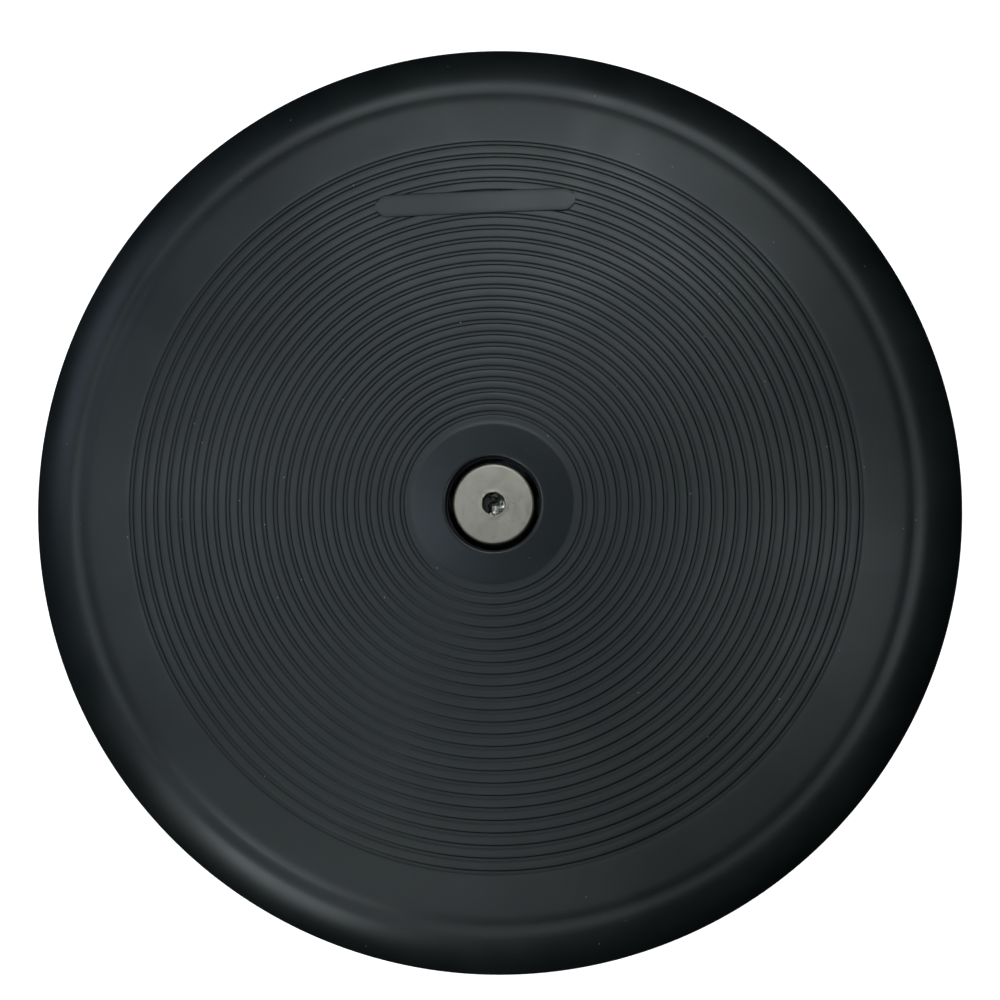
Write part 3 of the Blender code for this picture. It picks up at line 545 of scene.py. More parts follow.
def make(name, points, faces, sharp=35.0, bevel=0.0):
    """A mesh object at the origin from points in millimetres, shaded smooth."""
    mesh = bpy.data.meshes.new(name)
    mesh.from_pydata([(x * MM, y * MM, z * MM) for x, y, z in points], [], faces)
    work = bmesh.new()
    work.from_mesh(mesh)
    bmesh.ops.recalc_face_normals(work, faces=work.faces)
    if bevel > 0.0:
        corners = [edge for edge in work.edges if edge.calc_face_angle(0.0) > 0.5]
        bmesh.ops.bevel(work, geom=corners, offset=bevel * MM, segments=2, affect="EDGES")
    work.to_mesh(mesh)
    work.free()
    mesh.shade_smooth()
    mesh.set_sharp_from_angle(angle=math.radians(sharp))
    thing = bpy.data.objects.new(name, mesh)
    bpy.context.scene.collection.objects.link(thing)
    return thing


def dress(thing, look, body, *nodes):
    """Gives a piece its material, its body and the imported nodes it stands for."""
    thing.data.materials.clear()
    thing.data.materials.append(LOOKS[look])
    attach(thing, body)
    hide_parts(*nodes)
    return thing


def bar(radius, low, high, place):
    """A round cutter along Z, put in place by a matrix in millimetres."""
    points, faces = turned([(0, high), (radius, high), (radius, low), (0, low)], 48)
    return make("cutter", [tuple(place @ Vector(point)) for point in points], faces)


def along(degrees):
    """Turns a piece made along Z to lie along a tilt axis, at the pivot's height."""
    turn = Matrix.Rotation(math.radians(degrees), 4, "Z") @ Matrix.Rotation(math.pi / 2, 4, "Y")
    return Matrix.Translation((0, 0, PIVOT_HEIGHT)) @ turn


def settle(thing):
    """Turns what the modifiers make into the object's own mesh, and removes them."""
    depsgraph = bpy.context.evaluated_depsgraph_get()
    mesh = bpy.data.meshes.new_from_object(thing.evaluated_get(depsgraph))
    thing.modifiers.clear()
    thing.data = mesh
    mesh.shade_smooth()
    mesh.set_sharp_from_angle(angle=math.radians(35.0))


def cut(thing, tools):
    """Takes shapes out of a piece with exact Booleans, and removes the tools."""
    for tool in tools:
        modifier = thing.modifiers.new("cut", "BOOLEAN")
        modifier.operation = "DIFFERENCE"
        modifier.solver = "EXACT"
        modifier.object = tool
    settle(thing)
    for tool in tools:
        bpy.data.objects.remove(tool)


def lathe(name, profile, look, body, nodes, edge=0.4, place=None, segments=MIDDLE):
    """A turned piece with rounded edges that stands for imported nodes."""
    points, faces = turned(rounded(profile, edge), segments)
    if place is not None:
        points = [tuple(place @ Vector(point)) for point in points]
    return dress(make(name, points, faces), look, body, *nodes)


def make_screw(radius, head_radius, head_low, head_high, tip, socket):
    """A screw on the Z axis with a hexagon socket. head_low is the driven face."""
    away = math.copysign(1.0, tip - head_low)
    profile = [(0, head_low), (head_radius, head_low)]
    if head_radius > radius:
        profile += [(head_radius, head_high), (radius, head_high)]
    profile += [(radius, tip), (0, tip)]
    screw = make("screw", *turned(rounded(profile, 0.35), 48))
    deep = head_low + away * 0.6 * max(abs(head_high - head_low), 2.0)
    ends = sorted((head_low - away, deep))
    points, faces = turned([(0, ends[1]), (socket, ends[1]), (socket, ends[0]), (0, ends[0])], 6)
    cut(screw, [make("hexagon", points, faces)])
    return screw


def ring_tree():
    """Geometry Nodes: copies of a piece, evenly round the post, each turned to face out."""
    tree = bpy.data.node_groups.new("ring_of_pieces", "GeometryNodeTree")
    for name, kind in (("Piece", "Object"), ("Count", "Int"), ("Distance", "Float"),
                       ("First angle", "Float"), ("Look", "Material")):
        tree.interface.new_socket(name=name, in_out="INPUT", socket_type=f"NodeSocket{kind}")
    tree.interface.new_socket(name="Ring", in_out="OUTPUT", socket_type="NodeSocketGeometry")
    given = tree.nodes.new("NodeGroupInput").outputs
    piece = add(tree, "GeometryNodeObjectInfo", {"Object": given["Piece"]})
    number = add(tree, "GeometryNodeInputIndex")
    step = add(tree, "ShaderNodeMath", {0: 2.0 * math.pi, 1: given["Count"]}, operation="DIVIDE")
    angle = add(tree, "ShaderNodeMath", {
        0: number.outputs["Index"], 1: step.outputs[0], 2: given["First angle"],
    }, operation="MULTIPLY_ADD")
    turn = add(tree, "ShaderNodeCombineXYZ", {"Z": angle.outputs[0]})
    turn = add(tree, "FunctionNodeEulerToRotation", {"Euler": turn.outputs[0]})
    reach = add(tree, "ShaderNodeCombineXYZ", {"X": given["Distance"]})
    place = add(tree, "FunctionNodeRotateVector", {
        "Vector": reach.outputs[0], "Rotation": turn.outputs[0],
    })
    points = add(tree, "GeometryNodePoints", {
        "Count": given["Count"], "Position": place.outputs[0],
    })
    copies = add(tree, "GeometryNodeInstanceOnPoints", {
        "Points": points.outputs[0], "Instance": piece.outputs["Geometry"],
        "Rotation": turn.outputs[0],
    })
    real = add(tree, "GeometryNodeRealizeInstances", {"Geometry": copies.outputs[0]})
    dressed = add(tree, "GeometryNodeSetMaterial", {
        "Geometry": real.outputs[0], "Material": given["Look"],
    })
    add(tree, "NodeGroupOutput", {"Ring": dressed.outputs[0]})
    return tree


RING_TREE = ring_tree()


def ring_of(name, piece, count, distance, first, look, body, *nodes):
    """Copies of a piece round the post, as one plain mesh on one body."""
    thing = bpy.data.objects.new(name, bpy.data.meshes.new(name))
    bpy.context.scene.collection.objects.link(thing)
    modifier = thing.modifiers.new("ring", "NODES")
    modifier.node_group = RING_TREE
    given = {"Piece": piece, "Count": count, "Distance": distance * MM,
             "First angle": math.radians(first), "Look": LOOKS[look]}
    for socket in RING_TREE.interface.items_tree:
        if socket.in_out == "INPUT":
            modifier[socket.identifier] = given[socket.name]
    settle(thing)
    bpy.data.objects.remove(piece)
    return dress(thing, look, body, *nodes)


def crown_height(radius):
    """Height of the crown's sphere at a distance from the axis."""
    return CROWN_HEIGHT - CROWN_RADIUS + math.sqrt(CROWN_RADIUS**2 - radius**2)


def skin_run(start, end, depth, steps):
    """Points of the skin at a depth, from one distance along its outline to another."""
    return [skin(start + (end - start) * step / steps, depth) for step in range(steps + 1)]


def skin(path, depth):
    """Point of the cushion's skin a distance along its outline from the axis, and beneath it."""
    if path < CREASE_PATH:
        angle = path / CROWN_RADIUS
        reach = CROWN_RADIUS - depth
        return (reach * math.sin(angle), CROWN_HEIGHT - CROWN_RADIUS + reach * math.cos(angle))
    angle = CREASE_ANGLE + (path - CREASE_PATH) / ROLL_RADIUS
    reach = ROLL_RADIUS - depth
    return (
        ROLL_CENTRE_RADIUS + reach * math.sin(angle),
        ROLL_CENTRE_HEIGHT + reach * math.cos(angle),
    )


def path_at(radius):
    """Distance along the crown's outline to a radius."""
    return CROWN_RADIUS * math.asin(radius / CROWN_RADIUS)


def path_down_to(height, depth):
    """Distance along the outline to where a layer of the roll comes down to a height."""
    angle = math.pi / 2 + math.asin((ROLL_CENTRE_HEIGHT - height) / (ROLL_RADIUS - depth))
    return CREASE_PATH + ROLL_RADIUS * (angle - CREASE_ANGLE)


def groove_starts():
    """Inner radius of each groove: the pitch grows evenly outwards."""
    radius = GROOVE_FIRST
    for number in range(GROOVE_COUNT):
        yield radius
        radius += GROOVE_PITCH + GROOVE_GROWTH * number


def collar_rise(path):
    """Height of the plain collar over the crown: a low step with a rounded foot."""
    share = min(1.0, max(0.0, (COLLAR_RADIUS - path) / COLLAR_ROUND))
    return COLLAR_RISE * share * share * (3.0 - 2.0 * share)


def crease_dip(path):
    """Depth of the soft crease where the crown meets the rim's roll."""
    return CREASE_DEPTH * math.exp(-(((path - CREASE_PATH) / CREASE_WIDTH) ** 2))


def groove_section():
    """(distance, depth, painted shade) across one groove: a flat floor between two steep walls.

    The outermost points lie on the land, close by, so that its shading stays flat.
    """
    foot = GROOVE_WALL + GROOVE_ROUND
    half = [
        (-3.0 * GROOVE_ROUND, 0.0, 0.0),
        (0.0, GROOVE_ROUND / 2, 0.5),
        (GROOVE_WALL / 2, GROOVE_DEPTH / 2, 1.0),
        (GROOVE_WALL, GROOVE_DEPTH - GROOVE_ROUND / 2, 0.8),
        (foot, GROOVE_DEPTH, 0.5),
        (foot + 2.0 * GROOVE_ROUND, GROOVE_DEPTH, 0.2),
    ]
    return half + [(GROOVE_WIDTH - s, d, f) for s, d, f in reversed(half)]


def tread_outline():
    """(distance along the skin, depth, relief) of the tread, from the hole out to the lip.

    Relief is 1 on a groove's walls, where it paints shade, 0 on the land and -1 on the polished
    collar.
    """
    start = path_at(HOLE_RADIUS)
    outline = []
    for step in range(5):
        turn = math.radians(90.0 * step / 4)
        inward = LIP_ROUND * (1 - math.cos(turn))
        outline.append((start + inward, LIP_ROUND * (1 - math.sin(turn)), -1.0))
    outline = [(s, d - collar_rise(s), f) for s, d, f in outline]
    first = start + 2 * LIP_ROUND
    for step in range(25):
        path = first + (COLLAR_END - first) * step / 24
        outline.append((path, -collar_rise(path), -collar_rise(path) / COLLAR_RISE))
    for radius in groove_starts():
        groove = path_at(radius)
        outline += [(groove + s, d, f) for s, d, f in groove_section()]
    reach = outline[-1][0]
    for step in range(1, 17):
        path = reach + (CREASE_PATH + 3 * CREASE_WIDTH - reach) * step / 16
        outline.append((path, crease_dip(path), 0.0))
    reach = outline[-1][0]
    for step in range(1, 25):
        outline.append((reach + (ROLL_PATH - reach) * step / 24, 0.0, 0.0))
    return outline


def make_tread_pad():
    """Rubber tread pad with its grooves, crease, rolled rim and turned-in lip."""
    outline = tread_outline()
    profile = [skin(path, depth) for path, depth, _ in outline]
    # painted shade on the groove walls, and the collar's polish, kept in the relief attribute
    groove_shade_and_collar_polish = [share for _, _, share in outline]
    inner_end = path_down_to(LIP_TOP, PAD_THICKNESS)
    hole = path_at(HOLE_RADIUS)
    profile += [(LIP_RADIUS, LIP_BOTTOM), (LIP_RADIUS, LIP_TOP)]
    profile += skin_run(inner_end, CREASE_PATH, PAD_THICKNESS, 10)
    profile += skin_run(CREASE_PATH, hole, PAD_THICKNESS, 8)[1:]
    groove_shade_and_collar_polish += [0.0] * (len(profile) - len(groove_shade_and_collar_polish))
    points, faces = turned(profile, SEGMENTS)
    pad = make("tread_pad_moulded", points, faces, 50.0)
    relief = pad.data.attributes.new("relief", "FLOAT", "POINT")
    relief.data.foreach_set("value", np.repeat(groove_shade_and_collar_polish, SEGMENTS).astype(np.float32))
    dress(pad, "tread_rubber", "top", "tread_pad")


def make_blank_plate():
    """A plain raised bar with round ends that bridges the rings, its face kept blank."""
    turn = Matrix.Rotation(math.radians(PLATE_TURN), 2)
    straight = (PLATE_LENGTH - PLATE_WIDTH) / 2
    ends = [math.radians(4.0 + 86.0 * step / 14) for step in range(15)]
    columns = [(straight + math.cos(a) * PLATE_WIDTH / 2, math.sin(a)) for a in ends]
    columns += [(straight * (1 - step / 12), 1.0) for step in range(1, 12)]
    columns = [(-x, w) for x, w in columns] + [(0.0, 1.0)] + columns[::-1]
    half = [(1.0, -1.2), (1.0, PLATE_RISE - 0.2), (0.97, PLATE_RISE - 0.06),
            (0.92, PLATE_RISE), (0.5, PLATE_RISE)]
    section = half + [(0.0, PLATE_RISE)] + [(-share, rise) for share, rise in half[::-1]]
    points = []
    for x, width in columns:
        for share, rise in section:
            flat = Vector(PLATE_CENTRE) + turn @ Vector((x, share * width * PLATE_WIDTH / 2))
            points.append((flat.x, flat.y, crown_height(flat.length) + rise))
    count = len(section)
    faces = [list(range(count)), list(range(len(points) - count, len(points)))]
    for near in range(0, len(points) - count, count):
        for corner in range(count):
            following = (corner + 1) % count
            faces.append([near + corner, near + following,
                          near + count + following, near + count + corner])
    dress(make("blank_plate", points, faces, 40.0), "tread_rubber", "top")


def make_shell():
    """Nylon shell under the pad: a turned skin, its boss, eight ribs and four stop lugs."""
    flange_low = LIP_TOP + SEAT_GAP
    boss_low = HUB_FLANGE_HIGH + SEAT_GAP
    boss_inner = HUB_OUTER + BOSS_GAP
    profile = skin_run(path_at(SHELL_HOLE), CREASE_PATH, SHELL_DEPTH, 12)
    profile += skin_run(CREASE_PATH, path_down_to(flange_low, SHELL_DEPTH), SHELL_DEPTH, 12)[1:]
    profile += [(CLAMP_INNER, flange_low), (CLAMP_INNER, SHELL_FLANGE_TOP)]
    under = path_down_to(SHELL_FLANGE_TOP, SHELL_UNDERSIDE)
    profile += skin_run(under, CREASE_PATH, SHELL_UNDERSIDE, 10)
    profile += skin_run(CREASE_PATH, path_at(HUB_FLANGE_RADIUS + 2), SHELL_UNDERSIDE, 10)[1:]
    profile += [(HUB_FLANGE_RADIUS, boss_low), (boss_inner, boss_low)]
    profile += skin_run(path_at(boss_inner), path_at(SHELL_HOLE), SHELL_UNDERSIDE, 4)
    shell = make("shell_moulded", *turned(profile, FINE))
    dress(shell, "black_nylon", "top", "shell")

    root, start = HUB_FLANGE_RADIUS - RIB_INSET, HUB_FLANGE_RADIUS + RIB_INSET
    middle = SHELL_FLANGE_TOP - SHELL_FLANGE_THICKNESS / 2
    outline = [
        (root, boss_low + RIB_INSET),
        (start, boss_low + RIB_INSET),
        (start, crown_height(start) - SHELL_UNDERSIDE - RIB_DEPTH),
        (CLAMP_INNER - 1, SHELL_FLANGE_TOP + RIB_INSET),
        (CLAMP_INNER + 1, middle),
        (CLAMP_INNER + RIB_REACH, middle),
    ]
    inside = SHELL_UNDERSIDE - SHELL_THICKNESS / 2
    outline += skin_run(path_at(CLAMP_INNER + RIB_REACH), path_at(root), inside, 10)
    rib = make("rib", *prism(outline, RIB_THICKNESS), bevel=0.5)
    ring_of("shell_ribs", rib, RIB_COUNT, 0.0, 0.0, "black_nylon", "top")

    near = STOP_PLACE - STOP_RADIUS - LUG_EDGE
    far = STOP_PLACE + STOP_RADIUS + LUG_EDGE
    outline = [(near, LUG_BOTTOM), (far, LUG_BOTTOM)]
    outline += skin_run(path_at(far), path_at(near), inside, 4)
    lug = make("lug", *prism(outline, 2 * STOP_RADIUS), bevel=0.8)
    ring_of("shell_stop_lugs", lug, 4, 0.0, 0.0, "black_nylon", "top")


def make_clamp():
    """Four nylon segments that trap the pad's lip, and the eight screws through them."""
    tongue_top = CLAMP_BOTTOM + CLAMP_TONGUE_THICKNESS
    section = rounded(
        [
            (CLAMP_INNER, LIP_TOP),
            (CLAMP_OUTER, LIP_TOP),
            (CLAMP_OUTER, tongue_top),
            (CLAMP_OUTER + CLAMP_TONGUE, tongue_top),
            (CLAMP_OUTER + CLAMP_TONGUE, CLAMP_BOTTOM),
            (CLAMP_INNER, CLAMP_BOTTOM),
        ],
        0.5,
    )
    segment = make("segment", *turned_arc(section, CLAMP_HALF_TURN, 40))
    head = CLAMP_BOTTOM + 3.0
    head_hole, shank_hole = 4.1, 2.3
    tools = []
    for angle in (-CLAMP_SCREW_TURN, CLAMP_SCREW_TURN):
        turn = Matrix.Rotation(math.radians(angle), 4, "Z")
        turn = turn @ Matrix.Translation((CLAMP_SCREW_PLACE, 0, 0))
        tools.append(bar(head_hole, CLAMP_BOTTOM - 2, head, turn))
        tools.append(bar(shank_hole, head - 1, LIP_TOP + 2, turn))
    cut(segment, tools)
    names = [f"clamp_segment_{number}" for number in range(1, 5)]
    ring_of("clamp_segments", segment, 4, 0.0, 0.0, "black_nylon", "top", *names)
    low = CLAMP_BOTTOM + SEAT_GAP
    fixing = make_screw(2.0, 3.8, low, low + 2.4, SHELL_FLANGE_TOP - 0.5, 1.9)
    names = [f"clamp_screw_{number}" for number in range(1, 9)]
    ring_of("clamp_screws", fixing, 8, CLAMP_SCREW_PLACE, CLAMP_SCREW_TURN, "zinc_steel", "top",
            *names)


def make_hub():
    """Cast hub under the shell, with its trunnion pins and the screws that hold it."""
    profile = [
        (HUB_INNER, HUB_HIGH.z),
        (HUB_OUTER, HUB_HIGH.z),
        (HUB_OUTER, HUB_FLANGE_HIGH),
        (HUB_FLANGE_RADIUS, HUB_FLANGE_HIGH),
        (HUB_FLANGE_RADIUS, HUB_FLANGE_LOW),
        (HUB_OUTER, HUB_FLANGE_LOW),
        (HUB_OUTER, HUB_LOW.z),
        (HUB_INNER, HUB_LOW.z),
    ]
    hub = make("hub_cast", *turned(rounded(profile, 1.0), FINE))
    tools = []
    for turn in (along(90.0), along(-90.0)):
        tools.append(bar(PIN_RADIUS + SEAT_GAP, HUB_INNER - 3, HUB_OUTER + 3, turn))
    for angle in (90.0, -90.0):
        turn = Matrix.Rotation(math.radians(angle), 4, "Z")
        place = Matrix.Translation(((HUB_INNER + HUB_OUTER) / 2, 0, 0))
        tools.append(bar(2.8, HUB_LOW.z - 3, PIVOT_HEIGHT - 2, turn @ place))
    cut(hub, tools)
    dress(hub, "cast_aluminium", "top", "hub")
    for number, angle in enumerate((90.0, -90.0), 1):
        inner, outer = TRUNNION_INNER, HUB_OUTER - SEAT_GAP
        pin = [(0, outer), (PIN_RADIUS, outer), (PIN_RADIUS, inner), (0, inner)]
        lathe(f"trunnion_pin_{number}_ground", pin, "black_steel", "top",
              [f"trunnion_pin_{number}"], 0.5, along(angle))
        sleeve = spacer_profile(GIMBAL_OUTER + SEAT_GAP, HUB_INNER - 1.1)
        lathe(f"trunnion_spacer_{number}_turned", sleeve, "black_acetal", "top",
              [f"trunnion_spacer_{number}"], 0.4, along(angle))
        low, high = size_of(f"trunnion_lock_screw_{number}")
        lock = make_screw(2.5, 2.5, low.z, low.z + 1, high.z, 1.5)
        middle = (low + high) / 2
        ring_of(f"trunnion_lock_screw_{number}_set", lock, 1, middle.xy.length, angle,
                "black_steel", "top", f"trunnion_lock_screw_{number}")
    high = HUB_FLANGE_LOW - SEAT_GAP
    fixing = make_screw(2.5, 4.2, high - 4.0, high, HUB_FLANGE_HIGH + 6.5, 2.2)
    names = [f"hub_screw_{number}" for number in range(1, 7)]
    ring_of("hub_screws", fixing, 6, HUB_SCREW_PLACE, 30.0, "zinc_steel", "top", *names)


def spacer_profile(near, far):
    """A plain sleeve on a pin, between two distances from the pivot."""
    bore = PIN_RADIUS + SEAT_GAP
    return [(bore, far), (SPACER_RADIUS, far), (SPACER_RADIUS, near), (bore, near)]


def make_gimbal():
    """Forged ring between the post and the hub, and the rubber bushes in its four bores."""
    low, high = size_of("gimbal_ring")
    inner, outer = GIMBAL_INNER, GIMBAL_OUTER
    ring = [(inner, high.z), (outer, high.z), (outer, low.z), (inner, low.z)]
    ring = make("gimbal_ring_forged", *turned(rounded(ring, 1.0), MIDDLE))
    cut(ring, [bar(6.3, inner - 5, outer + 5, along(angle)) for angle in (0, 90, 180, 270)])
    dress(ring, "forged_steel", "gimbal", "gimbal_ring")
    bore, face = PIN_RADIUS + SEAT_GAP, outer - SEAT_GAP
    for number, angle in enumerate((0.0, 90.0, 180.0, 270.0), 1):
        bush = [(bore, face), (6.0, face), (6.0, inner + SEAT_GAP), (bore, inner + SEAT_GAP)]
        lathe(f"gimbal_bush_{number}_moulded", bush, "soft_rubber", "gimbal",
              [f"gimbal_bush_{number}"], 0.5, along(angle))


def make_post():
    """Steel post: a faced end with a soft corner, and a bore whose mouth is burred over."""
    low, high = POST_LOW.z, POST_HIGH.z
    bore = POST_BORE_RADIUS
    profile = [(0.0, PIVOT_HEIGHT + PIN_RADIUS), (bore, PIVOT_HEIGHT + PIN_RADIUS)]
    profile += [(bore, high - step) for step in (6.0, 3.0, 1.5, 0.8, 0.35, 0.1)]
    profile += [(bore + step, high) for step in (0.12, 0.35, 0.6, 0.9, 1.4, 2.2)]
    for step in range(7):
        turn = math.radians(15.0 * step)
        profile.append((
            POST_RADIUS - POST_CORNER + POST_CORNER * math.sin(turn),
            high - POST_CORNER + POST_CORNER * math.cos(turn),
        ))
    profile += [(POST_RADIUS, low), (0.0, low)]
    points, faces = turned(profile, MIDDLE)
    bent = []
    for x, y, z in points:
        reach = math.hypot(x, y)
        near = math.exp(-(((reach - bore - 0.3) / 0.45) ** 2)) if z > high - 1.2 else 0.0
        away = math.atan2(y, x)
        side = 0.35 + 0.65 * max(0.0, math.cos(away - BURR_SIDE))
        torn = noise.noise(Vector((x * 1.3, y * 1.3, 5.0)))
        inward = 1.0 - near * (0.11 + 0.13 * torn) * side
        bent.append((x * inward, y * inward, z + near * side * (0.34 + 0.5 * torn)))
    post = make("post_turned", bent, faces, 60.0)
    cut(post, [bar(PIN_RADIUS + SEAT_GAP, -20, 20, along(0.0))])
    dress(post, "post_steel", "base", "post")


def make_torn_screw():
    """The cross pin's lock screw, its socket torn open: shards stand up on one side."""
    low, high = size_of("cross_pin_lock_screw")
    radius = POST_BORE_RADIUS - 0.35
    rings, around = 26, 72
    points = [(0.0, 0.0, low.z), (0.0, 0.0, high.z)]
    for ring in range(1, rings + 1):
        for step in range(around):
            reach = radius * ring / rings
            angle = 2.0 * math.pi * step / around
            x, y = reach * math.cos(angle), reach * math.sin(angle)
            shard = noise.noise(Vector((x * 0.45, y * 0.45, 1.7)))
            chip = noise.noise(Vector((x * 0.9, y * 0.9, 8.3)))
            lean = (x * math.cos(SHARD_SIDE) + y * math.sin(SHARD_SIDE)) / radius
            rise = 1.1 + 2.2 * lean + 1.8 * shard + 0.9 * abs(chip)
            points.append((x, y, high.z + max(0.0, rise)))
    lead = len(points) - around
    points[1] = (0.0, 0.0, sum(point[2] for point in points[2:2 + around]) / around)
    bottom = len(points)
    points += [(x, y, low.z) for x, y, _ in points[lead:lead + around]]
    faces = []
    for step in range(around):
        following = (step + 1) % around
        faces.append([1, 2 + step, 2 + following])
        faces.append([0, bottom + following, bottom + step])
        for ring in range(rings - 1):
            first = 2 + ring * around
            faces.append([first + step, first + around + step,
                          first + around + following, first + following])
        faces.append([lead + step, bottom + step, bottom + following, lead + following])
    screw = make("cross_pin_lock_screw_torn", points, faces, 25.0)
    dress(screw, "black_steel", "base", "cross_pin_lock_screw")
    screw.data.materials[0] = torn_steel()


def make_cross_pin():
    """The pin through the post that carries the gimbal ring, and its two spacers."""
    reach = GIMBAL_OUTER - 0.5
    pin = [(0, reach), (PIN_RADIUS, reach), (PIN_RADIUS, -reach), (0, -reach)]
    lathe("cross_pin_ground", pin, "black_steel", "base", ["cross_pin"], 0.5, along(0.0))
    for number, angle in enumerate((0.0, 180.0), 1):
        sleeve = spacer_profile(POST_RADIUS + SEAT_GAP, CROSS_SPACER_END)
        lathe(f"cross_spacer_{number}_turned", sleeve, "black_acetal", "base",
              [f"cross_spacer_{number}"], 0.4, along(angle))


def make_base():
    """Cast base plate, ribbed foot ring, cap, bolt, washer, pedestal and bump stops."""
    inner, outer = FOOT_INNER, FOOT_OUTER
    recess = BASE_LOW.z + FOOT_RECESS
    deep = BASE_LOW.z + 8.0
    plate = [
        (BOLT_HOLE, BASE_TOP), (BASE_RADIUS - 2.5, BASE_TOP), (BASE_RADIUS, BASE_TOP - 2.5),
        (BASE_RADIUS, BASE_LOW.z), (outer, BASE_LOW.z), (outer, recess), (inner, recess),
        (inner, BASE_LOW.z), (14.0, BASE_LOW.z), (14.0, deep), (BOLT_HOLE, deep),
    ]
    plate = make("base_plate_cast", *turned(rounded(plate, 0.9), FINE))
    tools = []
    for angle in (0, 90, 180, 270):
        turn = Matrix.Rotation(math.radians(angle), 4, "Z")
        turn = turn @ Matrix.Translation((STOP_PLACE, 0, 0))
        tools.append(bar(STOP_RADIUS + SEAT_GAP, BASE_TOP - 3, BASE_TOP + 3, turn))
    cut(plate, tools)
    dress(plate, "painted_iron", "base", "base_plate")

    foot = [(inner + SEAT_GAP, recess - SEAT_GAP), (outer - SEAT_GAP, recess - SEAT_GAP)]
    foot.append((outer - SEAT_GAP, 0.0))
    for groove in (114.0, 110.0, 106.0, 102.0):
        foot += [(groove, 0.0), (groove - 0.3, 0.8), (groove - 1.3, 0.8), (groove - 1.6, 0.0)]
    foot.append((inner + SEAT_GAP, 0.0))
    lathe("foot_ring_moulded", foot, "soft_rubber", "base", ["foot_ring"], 0.3, None, FINE)

    low, high = size_of("base_cap")
    rim = high.x
    cap = [(0, high.z), (rim, high.z), (rim, low.z), (rim - 2, low.z), (rim - 2.4, low.z + 0.4),
           (3.0, low.z + 0.4), (2.6, low.z + 0.8), (0, low.z + 0.8)]
    lathe("base_cap_moulded", cap, "black_nylon", "base", ["base_cap"], 0.3)
    low, high = size_of("post_washer")
    washer = [(BOLT_HOLE, high.z), (high.x, high.z), (high.x, low.z), (BOLT_HOLE, low.z)]
    lathe("post_washer_pressed", washer, "zinc_steel", "base", ["post_washer"], 0.3)
    low, high = size_of("post_bolt")
    bolt = make_screw(5.0, 9.0, low.z, low.z + 4.0, high.z, 4.0)
    ring_of("post_bolt_socket", bolt, 1, 0.0, 0.0, "black_steel", "base", "post_bolt")

    low, high = size_of("bump_stop_1")
    stop = [(0, high.z), (STOP_RADIUS - 2.5, high.z - 0.3), (STOP_RADIUS, high.z - 2.2),
            (STOP_RADIUS, low.z), (0, low.z)]
    stop = make("stop", *turned(rounded(stop, 1.2), MIDDLE))
    names = [f"bump_stop_{number}" for number in range(1, 5)]
    ring_of("bump_stops", stop, 4, STOP_PLACE, 0.0, "soft_rubber", "base", *names)

    low, high = size_of("pedestal")
    bore, floor = POST_RADIUS + SEAT_GAP, low.z + 3.7
    flange = low.z + 5.7
    casting = [
        (bore, high.z), (21, high.z), (21.6, 37), (23.2, 30), (26, flange + 2), (29, flange),
        (45, flange), (45, low.z), (BOLT_HOLE, low.z), (BOLT_HOLE, floor), (bore, floor),
    ]
    lathe("pedestal_cast", casting, "cast_aluminium", "base", ["pedestal"], 1.2, None, FINE)
    head = flange + SEAT_GAP
    fixing = make_screw(3.0, 5.0, head + 3.7, head, BASE_TOP - 7.5, 2.5)
    names = [f"pedestal_screw_{number}" for number in range(1, 5)]
    ring_of("pedestal_screws", fixing, 4, 35.5, 45.0, "black_steel", "base", *names)


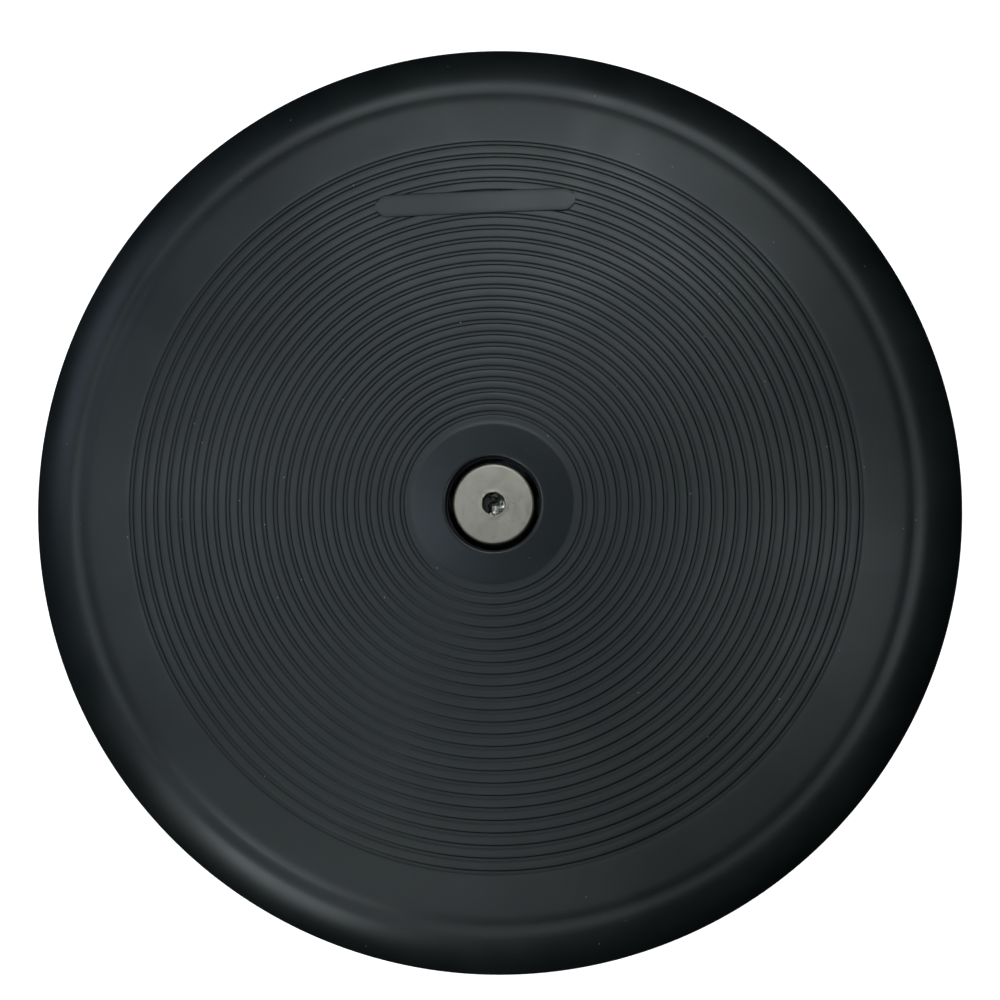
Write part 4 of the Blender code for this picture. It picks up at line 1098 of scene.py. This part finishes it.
def make_studio():
    """White paper floor, a world that hardly lights, and the soft boxes round the cushion."""
    corners = [(-4000, -4000, -0.2), (4000, -4000, -0.2), (4000, 4000, -0.2), (-4000, 4000, -0.2)]
    floor = make("studio_floor", corners, [(0, 1, 2, 3)])
    floor.data.materials.append(studio_paper())
    floor.visible_glossy = False
    floor.visible_diffuse = False

    world = bpy.data.worlds.new("studio")
    world.use_nodes = True
    background = world.node_tree.nodes["Background"]
    background.inputs["Color"].default_value = linear("#e8edf0")
    # pale behind everything, but hardly a light of its own
    seen = add(world.node_tree, "ShaderNodeLightPath")
    strength = add(world.node_tree, "ShaderNodeMapRange", {
        "Value": seen.outputs["Is Camera Ray"], "To Min": 0.002, "To Max": 1.2,
    })
    world.node_tree.links.new(strength.outputs["Result"], background.inputs["Strength"])
    bpy.context.scene.world = world

    lamps = (
        ("softbox_back_right", (380, 1000, 1450), 800, 5.8, "#f0fbff"),
        ("softbox_back", (-200, 990, 1450), 800, 5.3, "#f0fbff"),
        ("softbox_right", (940, -180, 1500), 650, 3.4, "#f0fbff"),
        ("softbox_left", (-950, 0, 1500), 650, 3.4, "#f0fbff"),
        ("softbox_front", (-100, -950, 1500), 650, 2.6, "#f0fbff"),
        ("overhead_left", (-330, 0, 1650), 300, 0.85, "#d8e6ff"),
        ("fill_left", (-1330, 480, 420), 800, 2.6, "#d8e6ff"),
        ("fill_front", (-820, -1180, 600), 600, 5.6, "#f0fbff"),
    )
    for name, place, side, power, tint in lamps:
        lamp = bpy.data.lights.new(name, "AREA")
        lamp.size = side * MM
        lamp.energy = power
        lamp.color = linear(tint)[:3]
        thing = bpy.data.objects.new(name, lamp)
        thing.location = Vector(place) * MM
        aim = Vector((0.0, 0.0, 0.06)) - thing.location
        thing.rotation_euler = aim.to_track_quat("-Z", "Y").to_euler()
        bpy.context.scene.collection.objects.link(thing)


def make_camera():
    """The camera, high over the cushion, leaning a little right and front."""
    right_lean = math.tan(math.radians(CAMERA_TO_RIGHT))
    front_lean = math.tan(math.radians(CAMERA_TO_FRONT))
    back = Vector((right_lean, -front_lean, 1.0)).normalized()
    right = Vector((0.0, 1.0, 0.0)).cross(back).normalized()
    up = back.cross(right)
    target = Vector((AIM[0], AIM[1], ROLL_CENTRE_HEIGHT)) * MM
    data = bpy.data.cameras.new("camera")
    data.sensor_width = 36.0
    data.lens = 0.5 * data.sensor_width * CAMERA_DISTANCE / VIEW_HALF_WIDTH
    camera = bpy.data.objects.new("camera", data)
    turn = Matrix((right, up, back)).transposed().to_4x4()
    camera.matrix_world = Matrix.Translation(target + back * CAMERA_DISTANCE * MM) @ turn
    bpy.context.scene.collection.objects.link(camera)
    bpy.context.scene.camera = camera
    bpy.context.scene.view_settings.view_transform = "Standard"


make_tread_pad()
make_blank_plate()
make_shell()
make_clamp()
make_hub()
make_gimbal()
make_post()
make_torn_screw()
make_cross_pin()
make_base()
make_studio()
make_camera()
slots = {part["node"]: part["material_slot"] for part in frame["record"]["subparts"]}
for name, node in frame["nodes"].items():
    node.data.materials.clear()
    node.data.materials.append(LOOKS[slots[name]])
